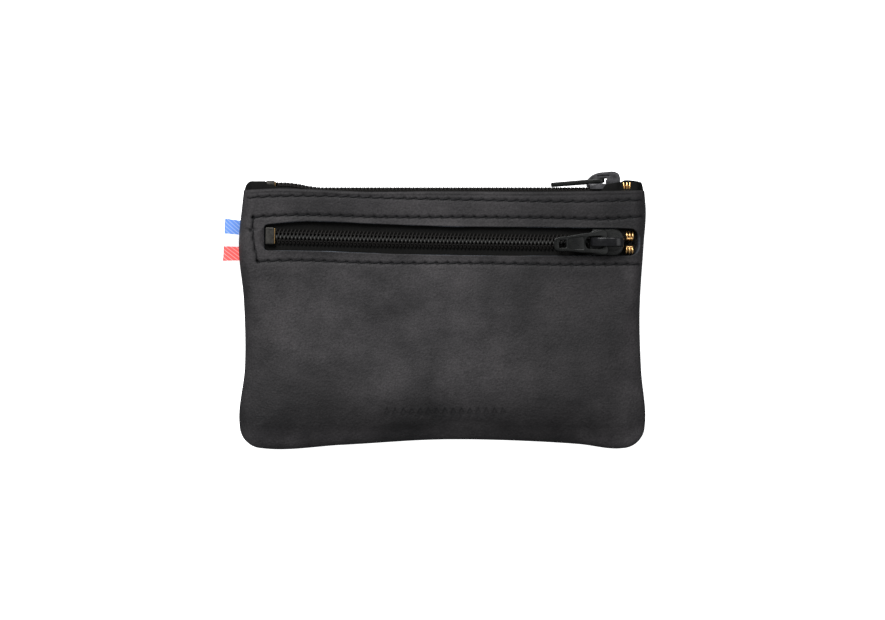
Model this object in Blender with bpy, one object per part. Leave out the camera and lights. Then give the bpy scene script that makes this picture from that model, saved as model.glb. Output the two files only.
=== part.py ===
"""A soft leather coin purse with two coil zips, lying on its back.

The purse's own frame: X runs along the zips towards their closed ends, Y from the base
to the main zip, Z up from the back panel, which rests on Z = 0. Lengths below are in
millimetres and become metres when a mesh is made.
"""

import bmesh
import bpy
from math import cos, pi, radians, sin, sqrt
from mathutils import Vector

MM = 0.001

# Leather shell
THICKNESS = 12.5
LEATHER = 1.2
MOUTH_Y = 41.5
SIDE_ROUND = 7.5
CORNER_RADIUS = 9.0
LEFT_CORNER = (-56.0, -32.1)
RIGHT_CORNER = (55.8, -32.1)
LEFT_SIDE = [(-63.0, 41.5), (-63.7, 37.0), (-65.0, 24.0), (-63.5, 6.0), (-63.2, -15.0)]
BASE_EDGE = [(-32.0, -39.9), (0.0, -38.1), (28.0, -38.7)]
RIGHT_SIDE = [(63.3, -16.0), (62.9, 2.0), (64.0, 24.0), (64.8, 35.0), (64.0, 41.5)]
OUTLINE_SPACING = 5.5

# Turned side and base seams
SEAM_Z = THICKNESS / 2
SEAM_GAP = 0.3
FLANGE = 5.5
MOUTH_FLANGE = 1.7
FLANGE_CLIPPED_FROM_Y = 36.0
BEND = LEATHER + 0.15
SEAM_THREAD_INSET = 3.5

# Window for the front pocket's zip
WINDOW_LEFT = -57.0
WINDOW_RIGHT = 62.6
WINDOW_HALF = 4.55
WINDOW_ROUND_LEFT = 2.0
WINDOW_ROUND_RIGHT = 4.0
WINDOW_CUT_FROM_Z = 8.6

# Zips: x along the zip, y across it, z out of the tape, from the tape's outer face
FRONT_ZIP_Y = 25.8
FRONT_ZIP_TILT = -1.1
FRONT_TAPE_Z = 10.85
MAIN_TAPE_Y = 41.1
TAPE = 0.35
TAPE_INNER = 0.6
FRONT_TAPE_HALF = 9.3
FRONT_TAPE_ENDS = (-58.5, 61.8)
FRONT_TAPE_NARROWS = (56.2, 57.4)
MAIN_TAPE_LEG = 4.5
MAIN_LEG_HALF = 54.5
LEFT_FLAP = [(-57.2, -0.15), (-59.4, -0.15), (-60.2, 0.7), (-62.8, 2.5), (-62.5, 3.2), (-59.8, 2.7)]
RIGHT_FLAP = [(60.5, -0.15), (61.8, -0.15), (62.4, 0.7), (64.0, 2.7), (63.6, 3.3), (61.4, 2.5)]
FLAP_FROM_MIDDLE = (3.5, 2.75)
COIL_GAP = 0.2
COIL_HEIGHT = 1.35
COIL_TIP = 0.45
COIL_ROOT = 1.15
COIL_OUTER = 2.55
COIL_PITCH = 1.214
STOP_HEIGHT = 1.6
STOP_LENGTH = 2.6

# Slider, about the puller's hinge line
HINGE_HEIGHT = 3.7
SLIDER_TAIL = -5.0
SLIDER_HEAD = 5.9
SLIDER_HALF = 4.2
LOWER_PLATE = (-1.55, -0.75)
UPPER_PLATE = (0.8, 2.65)
CHANNEL_TOP = 1.85
CHANNEL_HALF = 3.3
NECK_HALF = 0.25
BRIDGE_HALF = 1.6
PAWL_HALF = 0.3
PAWL_CLEARANCE = 0.3
PULLER_THICKNESS = 1.2
PULLER_LENGTH = 16.2
PULLER_BAR = 0.55
PULLER_WINDOW_END = -6.4
PULLER_WINDOW_HALF = 2.0
PULLER_HOLE = 1.3
PULLER_HOLE_X = -13.5
MAIN_HINGE_X = 51.4
FRONT_HINGE_X = 52.0
MAIN_PULLER_DROOP = 4.5

# Threads
THREAD = 0.4
THREAD_GAP = 0.2
MAIN_ROW = ((-61.6, 39.5), (62.6, 38.1))
POCKET_RUN = ((63.0, 32.8), (-60.6, 33.1), (-59.3, 18.9), (61.8, 17.8))
GROOVE_WIDTH = 1.0
GROOVE_DEPTH = 0.75
BACK_ROW_HALF = 55.0

# Pocket divider
DIVIDER = 0.5
DIVIDER_INSET = 2.3
DIVIDER_RISE_FROM_Y = 31.0
DIVIDER_RISE_TO = (37.4, 10.2)
DIVIDER_TOP_Y = 38.7
DIVIDER_TOP_HALF = 56.0

# Ribbon tab in the left seam
RIBBON = 0.5
RIBBON_TILT = -3.0
RIBBON_CENTRE_Y = 25.6
RIBBON_WIDTH = 13.0
RIBBON_HINGE_X = -65.8
RIBBON_FOLD_X = -70.5
RIBBON_ROOT_X = -63.2


# ---------------------------------------------------------------- scene and meshes


def clear_scene():
    for obj in list(bpy.data.objects):
        bpy.data.objects.remove(obj, do_unlink=True)


def finish_material(name, colour, roughness, metallic=0.0):
    made = bpy.data.materials.new(name)
    made.use_nodes = True
    shader = made.node_tree.nodes["Principled BSDF"]
    shader.inputs["Base Color"].default_value = (*colour, 1.0)
    shader.inputs["Roughness"].default_value = roughness
    shader.inputs["Metallic"].default_value = metallic
    return made


def mesh_object(name, bm, parent=None, look=None):
    """An object from a closed bmesh in millimetres, with its faces turned outwards."""
    bmesh.ops.recalc_face_normals(bm, faces=bm.faces)
    bmesh.ops.scale(bm, vec=(MM, MM, MM), verts=bm.verts)
    mesh = bpy.data.meshes.new(name)
    bm.to_mesh(mesh)
    bm.free()
    obj = bpy.data.objects.new(name, mesh)
    bpy.context.scene.collection.objects.link(obj)
    obj.parent = parent
    if look:
        mesh.materials.append(look)
    return obj


def rounded(obj, angle=35.0):
    """Smooth shading with the edges sharper than the angle kept crisp."""
    obj.data.shade_smooth()
    obj.data.set_sharp_from_angle(angle=radians(angle))
    return obj


def empty(name, location, rotation=(0.0, 0.0, 0.0), parent=None):
    made = bpy.data.objects.new(name, None)
    bpy.context.scene.collection.objects.link(made)
    made.location = Vector(location) * MM
    made.rotation_euler = rotation
    made.parent = parent
    return made


def helper(obj):
    """A shape that only cuts or joins another: it is no part of the purse."""
    obj.hide_render = True
    obj.display_type = "WIRE"
    return obj


def boolean(obj, other, operation):
    modifier = obj.modifiers.new(other.name, "BOOLEAN")
    modifier.operation = operation
    modifier.solver = "EXACT"
    modifier.object = helper(other)


def skin(rings):
    """A closed body through rings of equal length, capped at both ends."""
    bm = bmesh.new()
    made = [[bm.verts.new(p) for p in ring] for ring in rings]
    for near, far in zip(made, made[1:]):
        for i in range(len(near)):
            j = (i + 1) % len(near)
            bm.faces.new((near[i], near[j], far[j], far[i]))
    bm.faces.new(made[0])
    bm.faces.new(reversed(made[-1]))
    return bm


def prism(outline, low, high, chamfer=0.0):
    """An outline in X and Y raised from low to high, its top edge chamfered."""
    rings = [[(x, y, low) for x, y in outline], [(x, y, high - chamfer) for x, y in outline]]
    if chamfer:
        rings.append([(x, y, high) for x, y in inset(outline, chamfer)])
    return skin(rings)


def inset(outline, distance):
    """A closed anticlockwise outline moved inwards."""
    moved = []
    for i, here in enumerate(outline):
        before = Vector(outline[i - 1])
        after = Vector(outline[(i + 1) % len(outline)])
        along = (after - before).normalized()
        moved.append((here[0] - along.y * distance, here[1] + along.x * distance))
    return moved


def arc(centre, radius, start, end, steps):
    """Points on an arc, angles in degrees."""
    made = []
    for i in range(steps + 1):
        angle = radians(start + (end - start) * i / steps)
        made.append((centre[0] + radius * cos(angle), centre[1] + radius * sin(angle)))
    return made


def rounded_box(left, right, low, high, left_radius, right_radius, steps=4):
    """An anticlockwise rectangle with its own corner radius at each end."""
    made = arc((right - right_radius, low + right_radius), right_radius, -90, 0, steps)
    made += arc((right - right_radius, high - right_radius), right_radius, 0, 90, steps)
    made += arc((left + left_radius, high - left_radius), left_radius, 90, 180, steps)
    made += arc((left + left_radius, low + left_radius), left_radius, 180, 270, steps)
    return made


def smooth_path(points, spacing):
    """Points along a smooth curve through the given ones, long spans divided at the spacing."""
    points = [Vector(p) for p in points]
    spans = [(after - before).length for before, after in zip(points, points[1:])]
    ways = [(after - before).normalized() for before, after in zip(points, points[1:])]
    slopes = [ways[0]]
    for i in range(1, len(spans)):
        slopes.append((ways[i - 1] * spans[i] + ways[i] * spans[i - 1]) / (spans[i - 1] + spans[i]))
    slopes.append(ways[-1])
    made = []
    for i, span in enumerate(spans):
        steps = max(round(span / spacing), 1)
        for k in range(steps):
            t = k / steps
            ease = t * t * (3 - 2 * t)
            leaving = slopes[i] * span * t * (1 - t) ** 2
            arriving = slopes[i + 1] * span * t * t * (t - 1)
            made.append(points[i].lerp(points[i + 1], ease) + leaving + arriving)
    made.append(points[-1])
    return made


# ---------------------------------------------------------------- leather shell


def shell_outline():
    """The purse's outline from the mouth's left end, round the base, to its right end."""
    route = list(LEFT_SIDE)
    route += arc(LEFT_CORNER, CORNER_RADIUS, 180, 270, 6)
    route += BASE_EDGE
    route += arc(RIGHT_CORNER, CORNER_RADIUS, 270, 360, 6)
    route += RIGHT_SIDE
    return smooth_path(route, OUTLINE_SPACING)


def inward_directions(outline):
    """Unit vectors into the purse, level at the mouth so that its edge stays straight."""
    made = []
    for i in range(len(outline)):
        before = outline[max(i - 1, 0)]
        after = outline[min(i + 1, len(outline) - 1)]
        along = (after - before).normalized()
        level = min(max((MOUTH_Y - outline[i].y) / 12.0, 0.0), 1.0)
        made.append(Vector((-along.y, along.x * level)).normalized())
    return made


def side_x(y, right):
    """Where the outline's left or right side is at a height y."""
    side = sorted(RIGHT_SIDE if right else LEFT_SIDE, key=lambda p: p[1])
    for low, high in zip(side, side[1:]):
        if low[1] <= y <= high[1]:
            return low[0] + (high[0] - low[0]) * (y - low[1]) / (high[1] - low[1])
    raise ValueError(y)


def wall_rise(inset_by, thinner=0.0):
    """Height of the rounded side wall over the seam plane, at an inset from the outline."""
    run = SIDE_ROUND - thinner
    tall = THICKNESS / 2 - SEAM_GAP - BEND - thinner
    left = min(max((SIDE_ROUND - inset_by) / run, 0.0), 1.0)
    return SEAM_GAP + BEND + tall * sqrt(1.0 - left * left)


def wall_profile():
    """(inset, height over the seam plane) round one panel's leather; None is the flange's edge."""
    outer = [(None, SEAM_GAP)]
    inner = [(None, SEAM_GAP + LEATHER)]
    centre = (BEND, SEAM_GAP + BEND)
    outer += arc(centre, BEND, 270, 180, 3)
    inner += [(BEND, SEAM_GAP + LEATHER), (LEATHER, SEAM_GAP + BEND)]
    for i in range(1, 6):
        turn = radians(90.0 * i / 5)
        for row, thinner in ((outer, 0.0), (inner, LEATHER)):
            run = SIDE_ROUND - thinner
            tall = THICKNESS / 2 - SEAM_GAP - BEND - thinner
            row.append((SIDE_ROUND - run * cos(turn), SEAM_GAP + BEND + tall * sin(turn)))
    return outer, inner


def flange_width(y):
    """The turned flange is clipped back at the mouth, where the zip's ends pass."""
    share = min(max((y - FLANGE_CLIPPED_FROM_Y) / 3.0, 0.0), 1.0)
    return FLANGE + (MOUTH_FLANGE - FLANGE) * share


def panel(name, outline, inwards, side, look):
    """One leather tray, open at the mouth: side is 1 for the front and -1 for the back."""
    bm = bmesh.new()

    def ring(profile_point):
        made = []
        for here, inward in zip(outline, inwards):
            by = profile_point[0]
            if by is None:
                by = flange_width(here.y)
            at = here + inward * by
            made.append(bm.verts.new((at.x, at.y, SEAM_Z + side * profile_point[1])))
        return made

    outer, inner = wall_profile()
    outer_rings = [ring(p) for p in outer]
    inner_rings = [ring(p) for p in reversed(inner)]
    around = inner_rings + outer_rings
    for near, far in zip(around, around[1:]):
        for i in range(len(near) - 1):
            bm.faces.new((near[i], near[i + 1], far[i + 1], far[i]))
    flat_outer = outer_rings[-1]
    flat_inner = inner_rings[0]
    bm.faces.new(flat_outer)
    bm.faces.new(reversed(flat_inner))
    bm.faces.new((flat_outer[0], flat_outer[-1], flat_inner[-1], flat_inner[0]))
    for end in (0, -1):
        bm.faces.new([row[end] for row in around])
    return rounded(mesh_object(name, bm, look=look))


def cut_window(front, zip_frame):
    outline = rounded_box(
        WINDOW_LEFT, WINDOW_RIGHT, -WINDOW_HALF, WINDOW_HALF,
        WINDOW_ROUND_LEFT, WINDOW_ROUND_RIGHT,
    )
    low = WINDOW_CUT_FROM_Z - FRONT_TAPE_Z
    cutter = mesh_object("window_cutter", prism(outline, low, low + 10.0), zip_frame)
    boolean(front, cutter, "DIFFERENCE")


def cut_back_groove(back):
    """A shallow groove keeps the back's stitching off the surface the purse lies on."""
    row_y = MAIN_ROW[0][1]
    half = GROOVE_WIDTH / 2
    reach = BACK_ROW_HALF + half
    low, high = row_y - half, row_y + half
    outline = [(-reach, low), (reach, low), (reach, high), (-reach, high)]
    cutter = mesh_object("groove_cutter", prism(outline, -1.0, GROOVE_DEPTH))
    boolean(back, cutter, "DIFFERENCE")


def pocket_divider(outline, inwards, look):
    """The lining between the two compartments, caught in the seam and led up to the front's zip edge."""
    bm = bmesh.new()
    flat = []
    for here, inward in zip(outline, inwards):
        at = here + inward * DIVIDER_INSET
        if at.y < DIVIDER_RISE_FROM_Y - 0.5:
            flat.append((at.x, at.y))
    left = side_x(DIVIDER_RISE_FROM_Y, right=False) + DIVIDER_INSET
    right = side_x(DIVIDER_RISE_FROM_Y, right=True) - DIVIDER_INSET
    level = DIVIDER_RISE_FROM_Y
    around = [(left, level), *flat, (right, level), (DIVIDER_TOP_HALF, level), (-DIVIDER_TOP_HALF, level)]
    low = [bm.verts.new((x, y, SEAM_Z)) for x, y in around]
    bm.faces.new(low)
    edge = (low[-1], low[-2])
    for y, z in (DIVIDER_RISE_TO, (DIVIDER_TOP_Y, DIVIDER_RISE_TO[1])):
        ahead = [bm.verts.new((sign * DIVIDER_TOP_HALF, y, z)) for sign in (-1, 1)]
        bm.faces.new((edge[0], edge[1], ahead[1], ahead[0]))
        edge = ahead
    obj = mesh_object("pocket_divider", bm, look=look)
    solidify = obj.modifiers.new("thickness", "SOLIDIFY")
    solidify.thickness = DIVIDER * MM
    solidify.offset = 0.0
    solidify.use_even_offset = True
    return obj


# ---------------------------------------------------------------- threads


def thread(name, points, normals, look):
    """A thread of square section laid along points, one face on the leather."""
    rings = []
    corners = ((1, 1), (1, -1), (-1, -1), (-1, 1))
    for i, (at, up) in enumerate(zip(points, normals)):
        before = points[max(i - 1, 0)]
        after = points[min(i + 1, len(points) - 1)]
        aside = (after - before).cross(up).normalized()
        rings.append([at + (up * a + aside * b) * THREAD / 2 for a, b in corners])
    return mesh_object(name, skin(rings), look=look)


def on_front(x, y):
    """(point, outward normal) of a thread laid on the front panel's outside."""
    left = x - side_x(y, right=False)
    right = side_x(y, right=True) - x
    near = min(left, right)
    step = 0.02
    slope = (wall_rise(near + step) - wall_rise(near - step)) / (2 * step)
    if right < left:
        slope = -slope
    up = Vector((-slope, 0.0, 1.0)).normalized()
    surface = Vector((x, y, SEAM_Z + wall_rise(near)))
    return surface + up * (THREAD_GAP + THREAD / 2), up


def stitch_route(corners):
    """Points along straight runs between corners, close together where the panel curves."""
    made = [Vector(corners[0])]
    for start, end in zip(corners, corners[1:]):
        start = Vector(start)
        end = Vector(end)
        length = (end - start).length
        steps = int(length / 0.9)
        for i in range(1, steps + 1):
            at = start.lerp(end, i / steps)
            beside = min(at.x - side_x(at.y, right=False), side_x(at.y, right=True) - at.x)
            if beside < SIDE_ROUND + 0.5 or i == steps:
                made.append(at)
    return made


def front_stitching(name, corners, look):
    laid = [on_front(p.x, p.y) for p in stitch_route(corners)]
    return thread(name, [at for at, _ in laid], [up for _, up in laid], look)


def back_stitching(look):
    z = THREAD_GAP + THREAD / 2
    y = MAIN_ROW[0][1]
    points = [Vector((-BACK_ROW_HALF, y, z)), Vector((BACK_ROW_HALF, y, z))]
    return thread("main_zip_stitch_back", points, [Vector((0, 0, 1))] * 2, look)


def seam_stitching(outline, inwards, look):
    """The seam's thread, on the front flange inside the purse."""
    z = SEAM_Z + SEAM_GAP + LEATHER + THREAD_GAP + THREAD / 2
    points = []
    for here, inward in zip(outline, inwards):
        if here.y < FLANGE_CLIPPED_FROM_Y:
            at = here + inward * SEAM_THREAD_INSET
            points.append(Vector((at.x, at.y, z)))
    return thread("side_seam_thread", points, [Vector((0, 0, 1))] * len(points), look)


# ---------------------------------------------------------------- zips


def front_tapes(frame, look):
    """Two flat tapes under the window's edges, narrowed where the side wall comes down."""
    left, right = FRONT_TAPE_ENDS
    begin, end = FRONT_TAPE_NARROWS
    narrow = WINDOW_HALF - 0.4
    for name, sign in (("front_zip_tape_upper", 1), ("front_zip_tape_lower", -1)):
        outline = [
            (left, TAPE_INNER), (right, TAPE_INNER), (right, 1.6), (right - 0.8, 3.0),
            (right - 2.4, narrow), (end, narrow), (begin, FRONT_TAPE_HALF), (left, FRONT_TAPE_HALF),
        ]
        if sign < 0:
            outline = [(x, -y) for x, y in reversed(outline)]
        mesh_object(name, prism(outline, -TAPE, 0.0), frame, look)


def main_tape_half(x):
    """How far the main zip's tape reaches from the zip's middle, inside the side walls."""
    beside = min(x - side_x(MOUTH_Y, right=False), side_x(MOUTH_Y, right=True) - x)
    inside = wall_rise(max(beside, LEATHER), LEATHER) - 0.3
    return min(inside, THICKNESS / 2 - LEATHER - 0.2)


def main_tapes(frame, look):
    """Each tape is bent over inside the mouth and runs down its panel; its ends fold up out of it."""
    stations = (-61.0, -60.0, -59.0, -57.0, -54.6, -54.4, 54.4, 54.6, 57.0, 59.5, 61.0, 62.0)
    for name, sign in (("main_zip_tape_front", -1), ("main_zip_tape_back", 1)):
        rings = []
        for x in stations:
            half = main_tape_half(x)
            leg = MAIN_TAPE_LEG if abs(x) < MAIN_LEG_HALF else TAPE + 0.1
            section = [
                (TAPE_INNER, 0.0), (half, 0.0), (half, -leg), (half - TAPE, -leg),
                (half - TAPE, -TAPE), (TAPE_INNER, -TAPE),
            ]
            rings.append([(x, sign * y, z) for y, z in section])
        tape = mesh_object(name, skin(rings), frame, look)
        for outline, near in zip((LEFT_FLAP, RIGHT_FLAP), FLAP_FROM_MIDDLE):
            faces = [[(x, sign * y, z) for x, z in outline] for y in (near, near + TAPE)]
            boolean(tape, mesh_object(name + "_flap", skin(faces), frame), "UNION")


def coil(name, frame, sign, start, end, look):
    """One side's row of coil loops as a comb: a loop stands out at every pitch."""
    first = 0 if sign > 0 else 1
    count = int((end - start) / (COIL_PITCH / 2))
    rings = []
    for i in range(count + 1):
        x = start + i * COIL_PITCH / 2
        loop = (i + first) % 2 == 0
        inner = COIL_TIP if loop else COIL_ROOT
        top = COIL_GAP + COIL_HEIGHT - (0.0 if loop else 0.4)
        section = [
            (inner, COIL_GAP), (COIL_OUTER, COIL_GAP + 0.2),
            (COIL_OUTER - 0.5, top), (inner + 0.2, top - 0.1),
        ]
        rings.append([(x, sign * y, z) for y, z in section])
    mesh_object(name, skin(rings), frame, look)


def stop(name, frame, left, low, high, look):
    outline = rounded_box(left, left + STOP_LENGTH, low, high, 0.5, 0.5, 2)
    body = prism(outline, COIL_GAP, COIL_GAP + STOP_HEIGHT, 0.35)
    rounded(mesh_object(name, body, frame, look))


def slider_outline():
    """Seen from outside: a narrow tail and a broad rounded head."""
    upper = [
        (SLIDER_HEAD, 1.6), (SLIDER_HEAD - 0.7, 3.0), (SLIDER_HEAD - 1.7, 4.0),
        (SLIDER_HEAD - 3.0, SLIDER_HALF), (0.0, SLIDER_HALF - 0.1),
        (SLIDER_TAIL + 0.8, 3.9), (SLIDER_TAIL, 3.3),
    ]
    return upper + [(x, -y) for x, y in reversed(upper)]


def bridge_outline():
    """The arch the puller's bar runs under, seen from the side: along the zip and out of it."""
    foot = UPPER_PLATE[1] + 0.2
    outer = [(5.8, foot), (5.7, 4.6), (4.7, 6.2), (3.0, 6.6)]
    outer += [(-1.5, 6.5), (-3.4, 5.9), (-4.4, 4.6), (-4.8, foot)]
    inner = [(-3.2, foot), (-3.0, 4.6), (-2.3, 5.4), (2.6, 5.5), (3.3, 5.0), (3.5, foot)]
    return outer + inner


def pawl_outline():
    """The lock's pin, through the slider's upper plate, and its arm over the puller's bar."""
    arm = [(-1.9, 4.4), (1.3, 4.4), (1.3, 4.7), (-2.2, 4.7), (-2.5, 4.4)]
    return [(-2.5, 1.2), (-2.1, 0.9), (-1.9, 1.2)] + arm


def side_slab(outline, half):
    """An outline in X and Z with a thickness across the zip."""
    return skin([[(x, y, z) for x, z in outline] for y in (-half, half)])


def puller_outline():
    """Seen from outside, the hinge line at x = 0: a slim grip flaring to the hinge."""
    edge = [(-5.9, 3.15), (-8.0, 3.0), (-12.0, 2.7), (-PULLER_LENGTH + 0.9, 2.35), (-PULLER_LENGTH, 1.5)]
    head = [(PULLER_BAR, 3.4), (0.1, 3.8), (-0.9, 3.95), (-2.4, 3.75), (-4.2, 3.35)]
    upper = head + edge
    return upper + [(x, -y) for x, y in reversed(upper)]


def slider(prefix, frame, hinge_x, droop, metal, dark):
    """The slider with its bridge, lock pawl and puller; the slider's empty is on the hinge line."""
    carriage = empty(prefix + "_slider_axis", (hinge_x, 0.0, 0.0), parent=frame)
    body = mesh_object(
        prefix + "_slider_body", prism(slider_outline(), *UPPER_PLATE, 0.3), carriage, metal
    )
    inside = rounded_box(
        SLIDER_TAIL - 2, SLIDER_HEAD + 2, -CHANNEL_HALF, CHANNEL_HALF, 0.1, 0.1, 1
    )
    channel_shape = prism(inside, UPPER_PLATE[0] - 1, CHANNEL_TOP)
    boolean(body, mesh_object(prefix + "_channel_cutter", channel_shape, carriage), "DIFFERENCE")
    neck_outline = rounded_box(2.6, SLIDER_HEAD - 0.4, -NECK_HALF, NECK_HALF, 0.1, 0.2, 2)
    neck_shape = prism(neck_outline, LOWER_PLATE[0] + 0.2, CHANNEL_TOP + 0.3)
    boolean(body, mesh_object(prefix + "_neck", neck_shape, carriage), "UNION")
    lower_shape = prism(slider_outline(), *LOWER_PLATE)
    boolean(body, mesh_object(prefix + "_lower_plate", lower_shape, carriage), "UNION")
    gap = PAWL_CLEARANCE
    slot = rounded_box(-2.5 - gap, -1.9 + gap, -PAWL_HALF - gap, PAWL_HALF + gap, 0.1, 0.1, 1)
    slot_shape = prism(slot, CHANNEL_TOP - 0.5, UPPER_PLATE[1] + 1)
    boolean(body, mesh_object(prefix + "_pawl_hole", slot_shape, carriage), "DIFFERENCE")
    mesh_object(prefix + "_slider_bridge", side_slab(bridge_outline(), BRIDGE_HALF), carriage, metal)
    mesh_object(prefix + "_lock_pawl", side_slab(pawl_outline(), PAWL_HALF), carriage, dark)

    hinge = empty(prefix + "_puller_axis", (0.0, 0.0, HINGE_HEIGHT), (0.0, -radians(droop), 0.0), carriage)
    half = PULLER_THICKNESS / 2
    puller = mesh_object(prefix + "_puller", prism(puller_outline(), -half, half, 0.2), hinge, metal)
    window = rounded_box(
        PULLER_WINDOW_END, -PULLER_BAR, -PULLER_WINDOW_HALF, PULLER_WINDOW_HALF, 1.6, 0.3
    )
    boolean(puller, mesh_object(prefix + "_puller_window", prism(window, -2, 2), hinge), "DIFFERENCE")
    low = PULLER_HOLE_X - PULLER_HOLE
    high = PULLER_HOLE_X + PULLER_HOLE
    hole = rounded_box(low, high, -PULLER_HOLE, PULLER_HOLE, 0.7, 0.7)
    boolean(puller, mesh_object(prefix + "_puller_hole", prism(hole, -2, 2), hinge), "DIFFERENCE")


def zip_chain(prefix, frame, bottom_stop_x, top_stop_x, top_stop_y, names, looks):
    """Both coils between the bottom stop and the two top stops."""
    start = bottom_stop_x + STOP_LENGTH + 0.3
    end = top_stop_x - 0.3
    for name, sign in zip(names, (1, -1)):
        coil(f"{prefix}_zip_coil_{name}", frame, sign, start, end, looks["coil"])
        low, high = sorted((sign * top_stop_y[0], sign * top_stop_y[1]))
        stop(f"{prefix}_top_stop_{name}", frame, top_stop_x, low, high, looks["brass"])
    stop(prefix + "_bottom_stop", frame, bottom_stop_x, -2.5, 2.5, looks["dark metal"])


# ---------------------------------------------------------------- ribbon tab


def ribbon(look):
    """A folded ribbon: the loop outside the seam swings, its ends are caught in the seam."""
    turn = (0.0, 0.0, radians(RIBBON_TILT))
    axis = empty("ribbon_axis", (RIBBON_HINGE_X, RIBBON_CENTRE_Y, SEAM_Z), turn)
    length = RIBBON_HINGE_X - RIBBON_FOLD_X
    half = RIBBON_WIDTH / 2
    fold = 0.75
    outer = [(-0.2, 0.45)] + arc((-length + fold, 0.0), fold, 90, 270, 6) + [(-0.2, -0.45)]
    inner = [(-0.6, -0.08)] + arc((-length + fold, 0.0), fold - RIBBON, 270, 90, 4) + [(-0.6, 0.08)]
    rings = [[(x, y, z) for x, z in outer + inner] for y in (-half, half)]
    mesh_object("ribbon_tab", skin(rings), axis, look)
    root = RIBBON_ROOT_X - RIBBON_HINGE_X
    ends = [(0.2, -half), (root, -half), (root, half), (0.2, half)]
    mesh_object("ribbon_ends", prism(ends, -SEAM_GAP + 0.1, SEAM_GAP - 0.1), axis, look)


# ---------------------------------------------------------------- the purse


def build():
    clear_scene()
    leather = finish_material("leather", (0.045, 0.043, 0.047), 0.55)
    lining = finish_material("lining", (0.03, 0.03, 0.032), 0.85)
    webbing = finish_material("zip tape", (0.008, 0.008, 0.008), 0.8)
    nylon = finish_material("nylon coil", (0.012, 0.012, 0.012), 0.35)
    gunmetal = finish_material("gunmetal", (0.06, 0.065, 0.06), 0.3, 1.0)
    dark_metal = finish_material("dark brass", (0.16, 0.13, 0.09), 0.35, 1.0)
    brass = finish_material("brass", (0.70, 0.42, 0.14), 0.3, 1.0)
    cotton = finish_material("thread", (0.02, 0.02, 0.021), 0.8)
    twill = finish_material("ribbon", (0.75, 0.76, 0.80), 0.8)

    outline = shell_outline()
    inwards = inward_directions(outline)
    front_frame = empty(
        "front_zip_line", (0.0, FRONT_ZIP_Y, FRONT_TAPE_Z), (0.0, 0.0, radians(FRONT_ZIP_TILT))
    )
    main_frame = empty("main_zip_line", (0.0, MAIN_TAPE_Y, SEAM_Z), (-pi / 2, 0.0, 0.0))

    front = panel("front_panel", outline, inwards, 1, leather)
    cut_window(front, front_frame)
    back = panel("back_panel", outline, inwards, -1, leather)
    cut_back_groove(back)
    pocket_divider(outline, inwards, lining)

    front_stitching("main_zip_stitch_front", MAIN_ROW, cotton)
    front_stitching("pocket_stitch", POCKET_RUN, cotton)
    back_stitching(cotton)
    seam_stitching(outline, inwards, cotton)

    looks = {"coil": nylon, "brass": brass, "dark metal": dark_metal}
    front_tapes(front_frame, webbing)
    zip_chain("front", front_frame, -56.5, 58.5, (0.7, 3.3), ("upper", "lower"), looks)
    slider("front", front_frame, FRONT_HINGE_X, 0.0, gunmetal, dark_metal)
    main_tapes(main_frame, webbing)
    zip_chain("main", main_frame, -56.6, 57.8, (0.7, 3.1), ("back", "front"), looks)
    slider("main", main_frame, MAIN_HINGE_X, MAIN_PULLER_DROOP, gunmetal, dark_metal)

    ribbon(twill)


build()
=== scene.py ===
from math import cos, pi, radians, sin

import bmesh
import bpy
import numpy as np
from mathutils import Matrix, Vector
from mathutils.geometry import delaunay_2d_cdt


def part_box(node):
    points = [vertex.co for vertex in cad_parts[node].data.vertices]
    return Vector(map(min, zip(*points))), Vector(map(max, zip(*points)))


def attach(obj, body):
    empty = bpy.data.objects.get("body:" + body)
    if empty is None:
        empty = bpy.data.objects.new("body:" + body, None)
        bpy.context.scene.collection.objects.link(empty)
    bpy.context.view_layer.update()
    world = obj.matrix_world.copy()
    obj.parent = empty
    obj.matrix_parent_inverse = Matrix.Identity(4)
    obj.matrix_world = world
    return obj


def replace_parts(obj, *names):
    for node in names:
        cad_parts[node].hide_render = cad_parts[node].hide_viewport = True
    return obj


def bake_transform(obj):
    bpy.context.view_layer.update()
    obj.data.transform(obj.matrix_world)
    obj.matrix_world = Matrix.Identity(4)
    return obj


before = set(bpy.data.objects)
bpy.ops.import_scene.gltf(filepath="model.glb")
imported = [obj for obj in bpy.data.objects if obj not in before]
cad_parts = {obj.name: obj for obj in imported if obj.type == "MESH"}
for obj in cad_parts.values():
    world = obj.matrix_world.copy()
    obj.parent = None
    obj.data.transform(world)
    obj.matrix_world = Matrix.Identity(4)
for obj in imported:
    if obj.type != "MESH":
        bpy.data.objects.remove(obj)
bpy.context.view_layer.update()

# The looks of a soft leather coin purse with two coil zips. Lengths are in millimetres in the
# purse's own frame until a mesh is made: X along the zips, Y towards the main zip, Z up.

MM = 0.001


def cad_box(node):
    low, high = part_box(node)
    return np.array(low) / MM, np.array(high) / MM


FRONT_LOW, FRONT_HIGH = cad_box("front_panel")
BACK_LOW, BACK_HIGH = cad_box("back_panel")
TOP_Z = FRONT_HIGH[2]
SEAM_Z = (FRONT_LOW[2] + BACK_HIGH[2]) / 2
MOUTH_Y = FRONT_HIGH[1]

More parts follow.
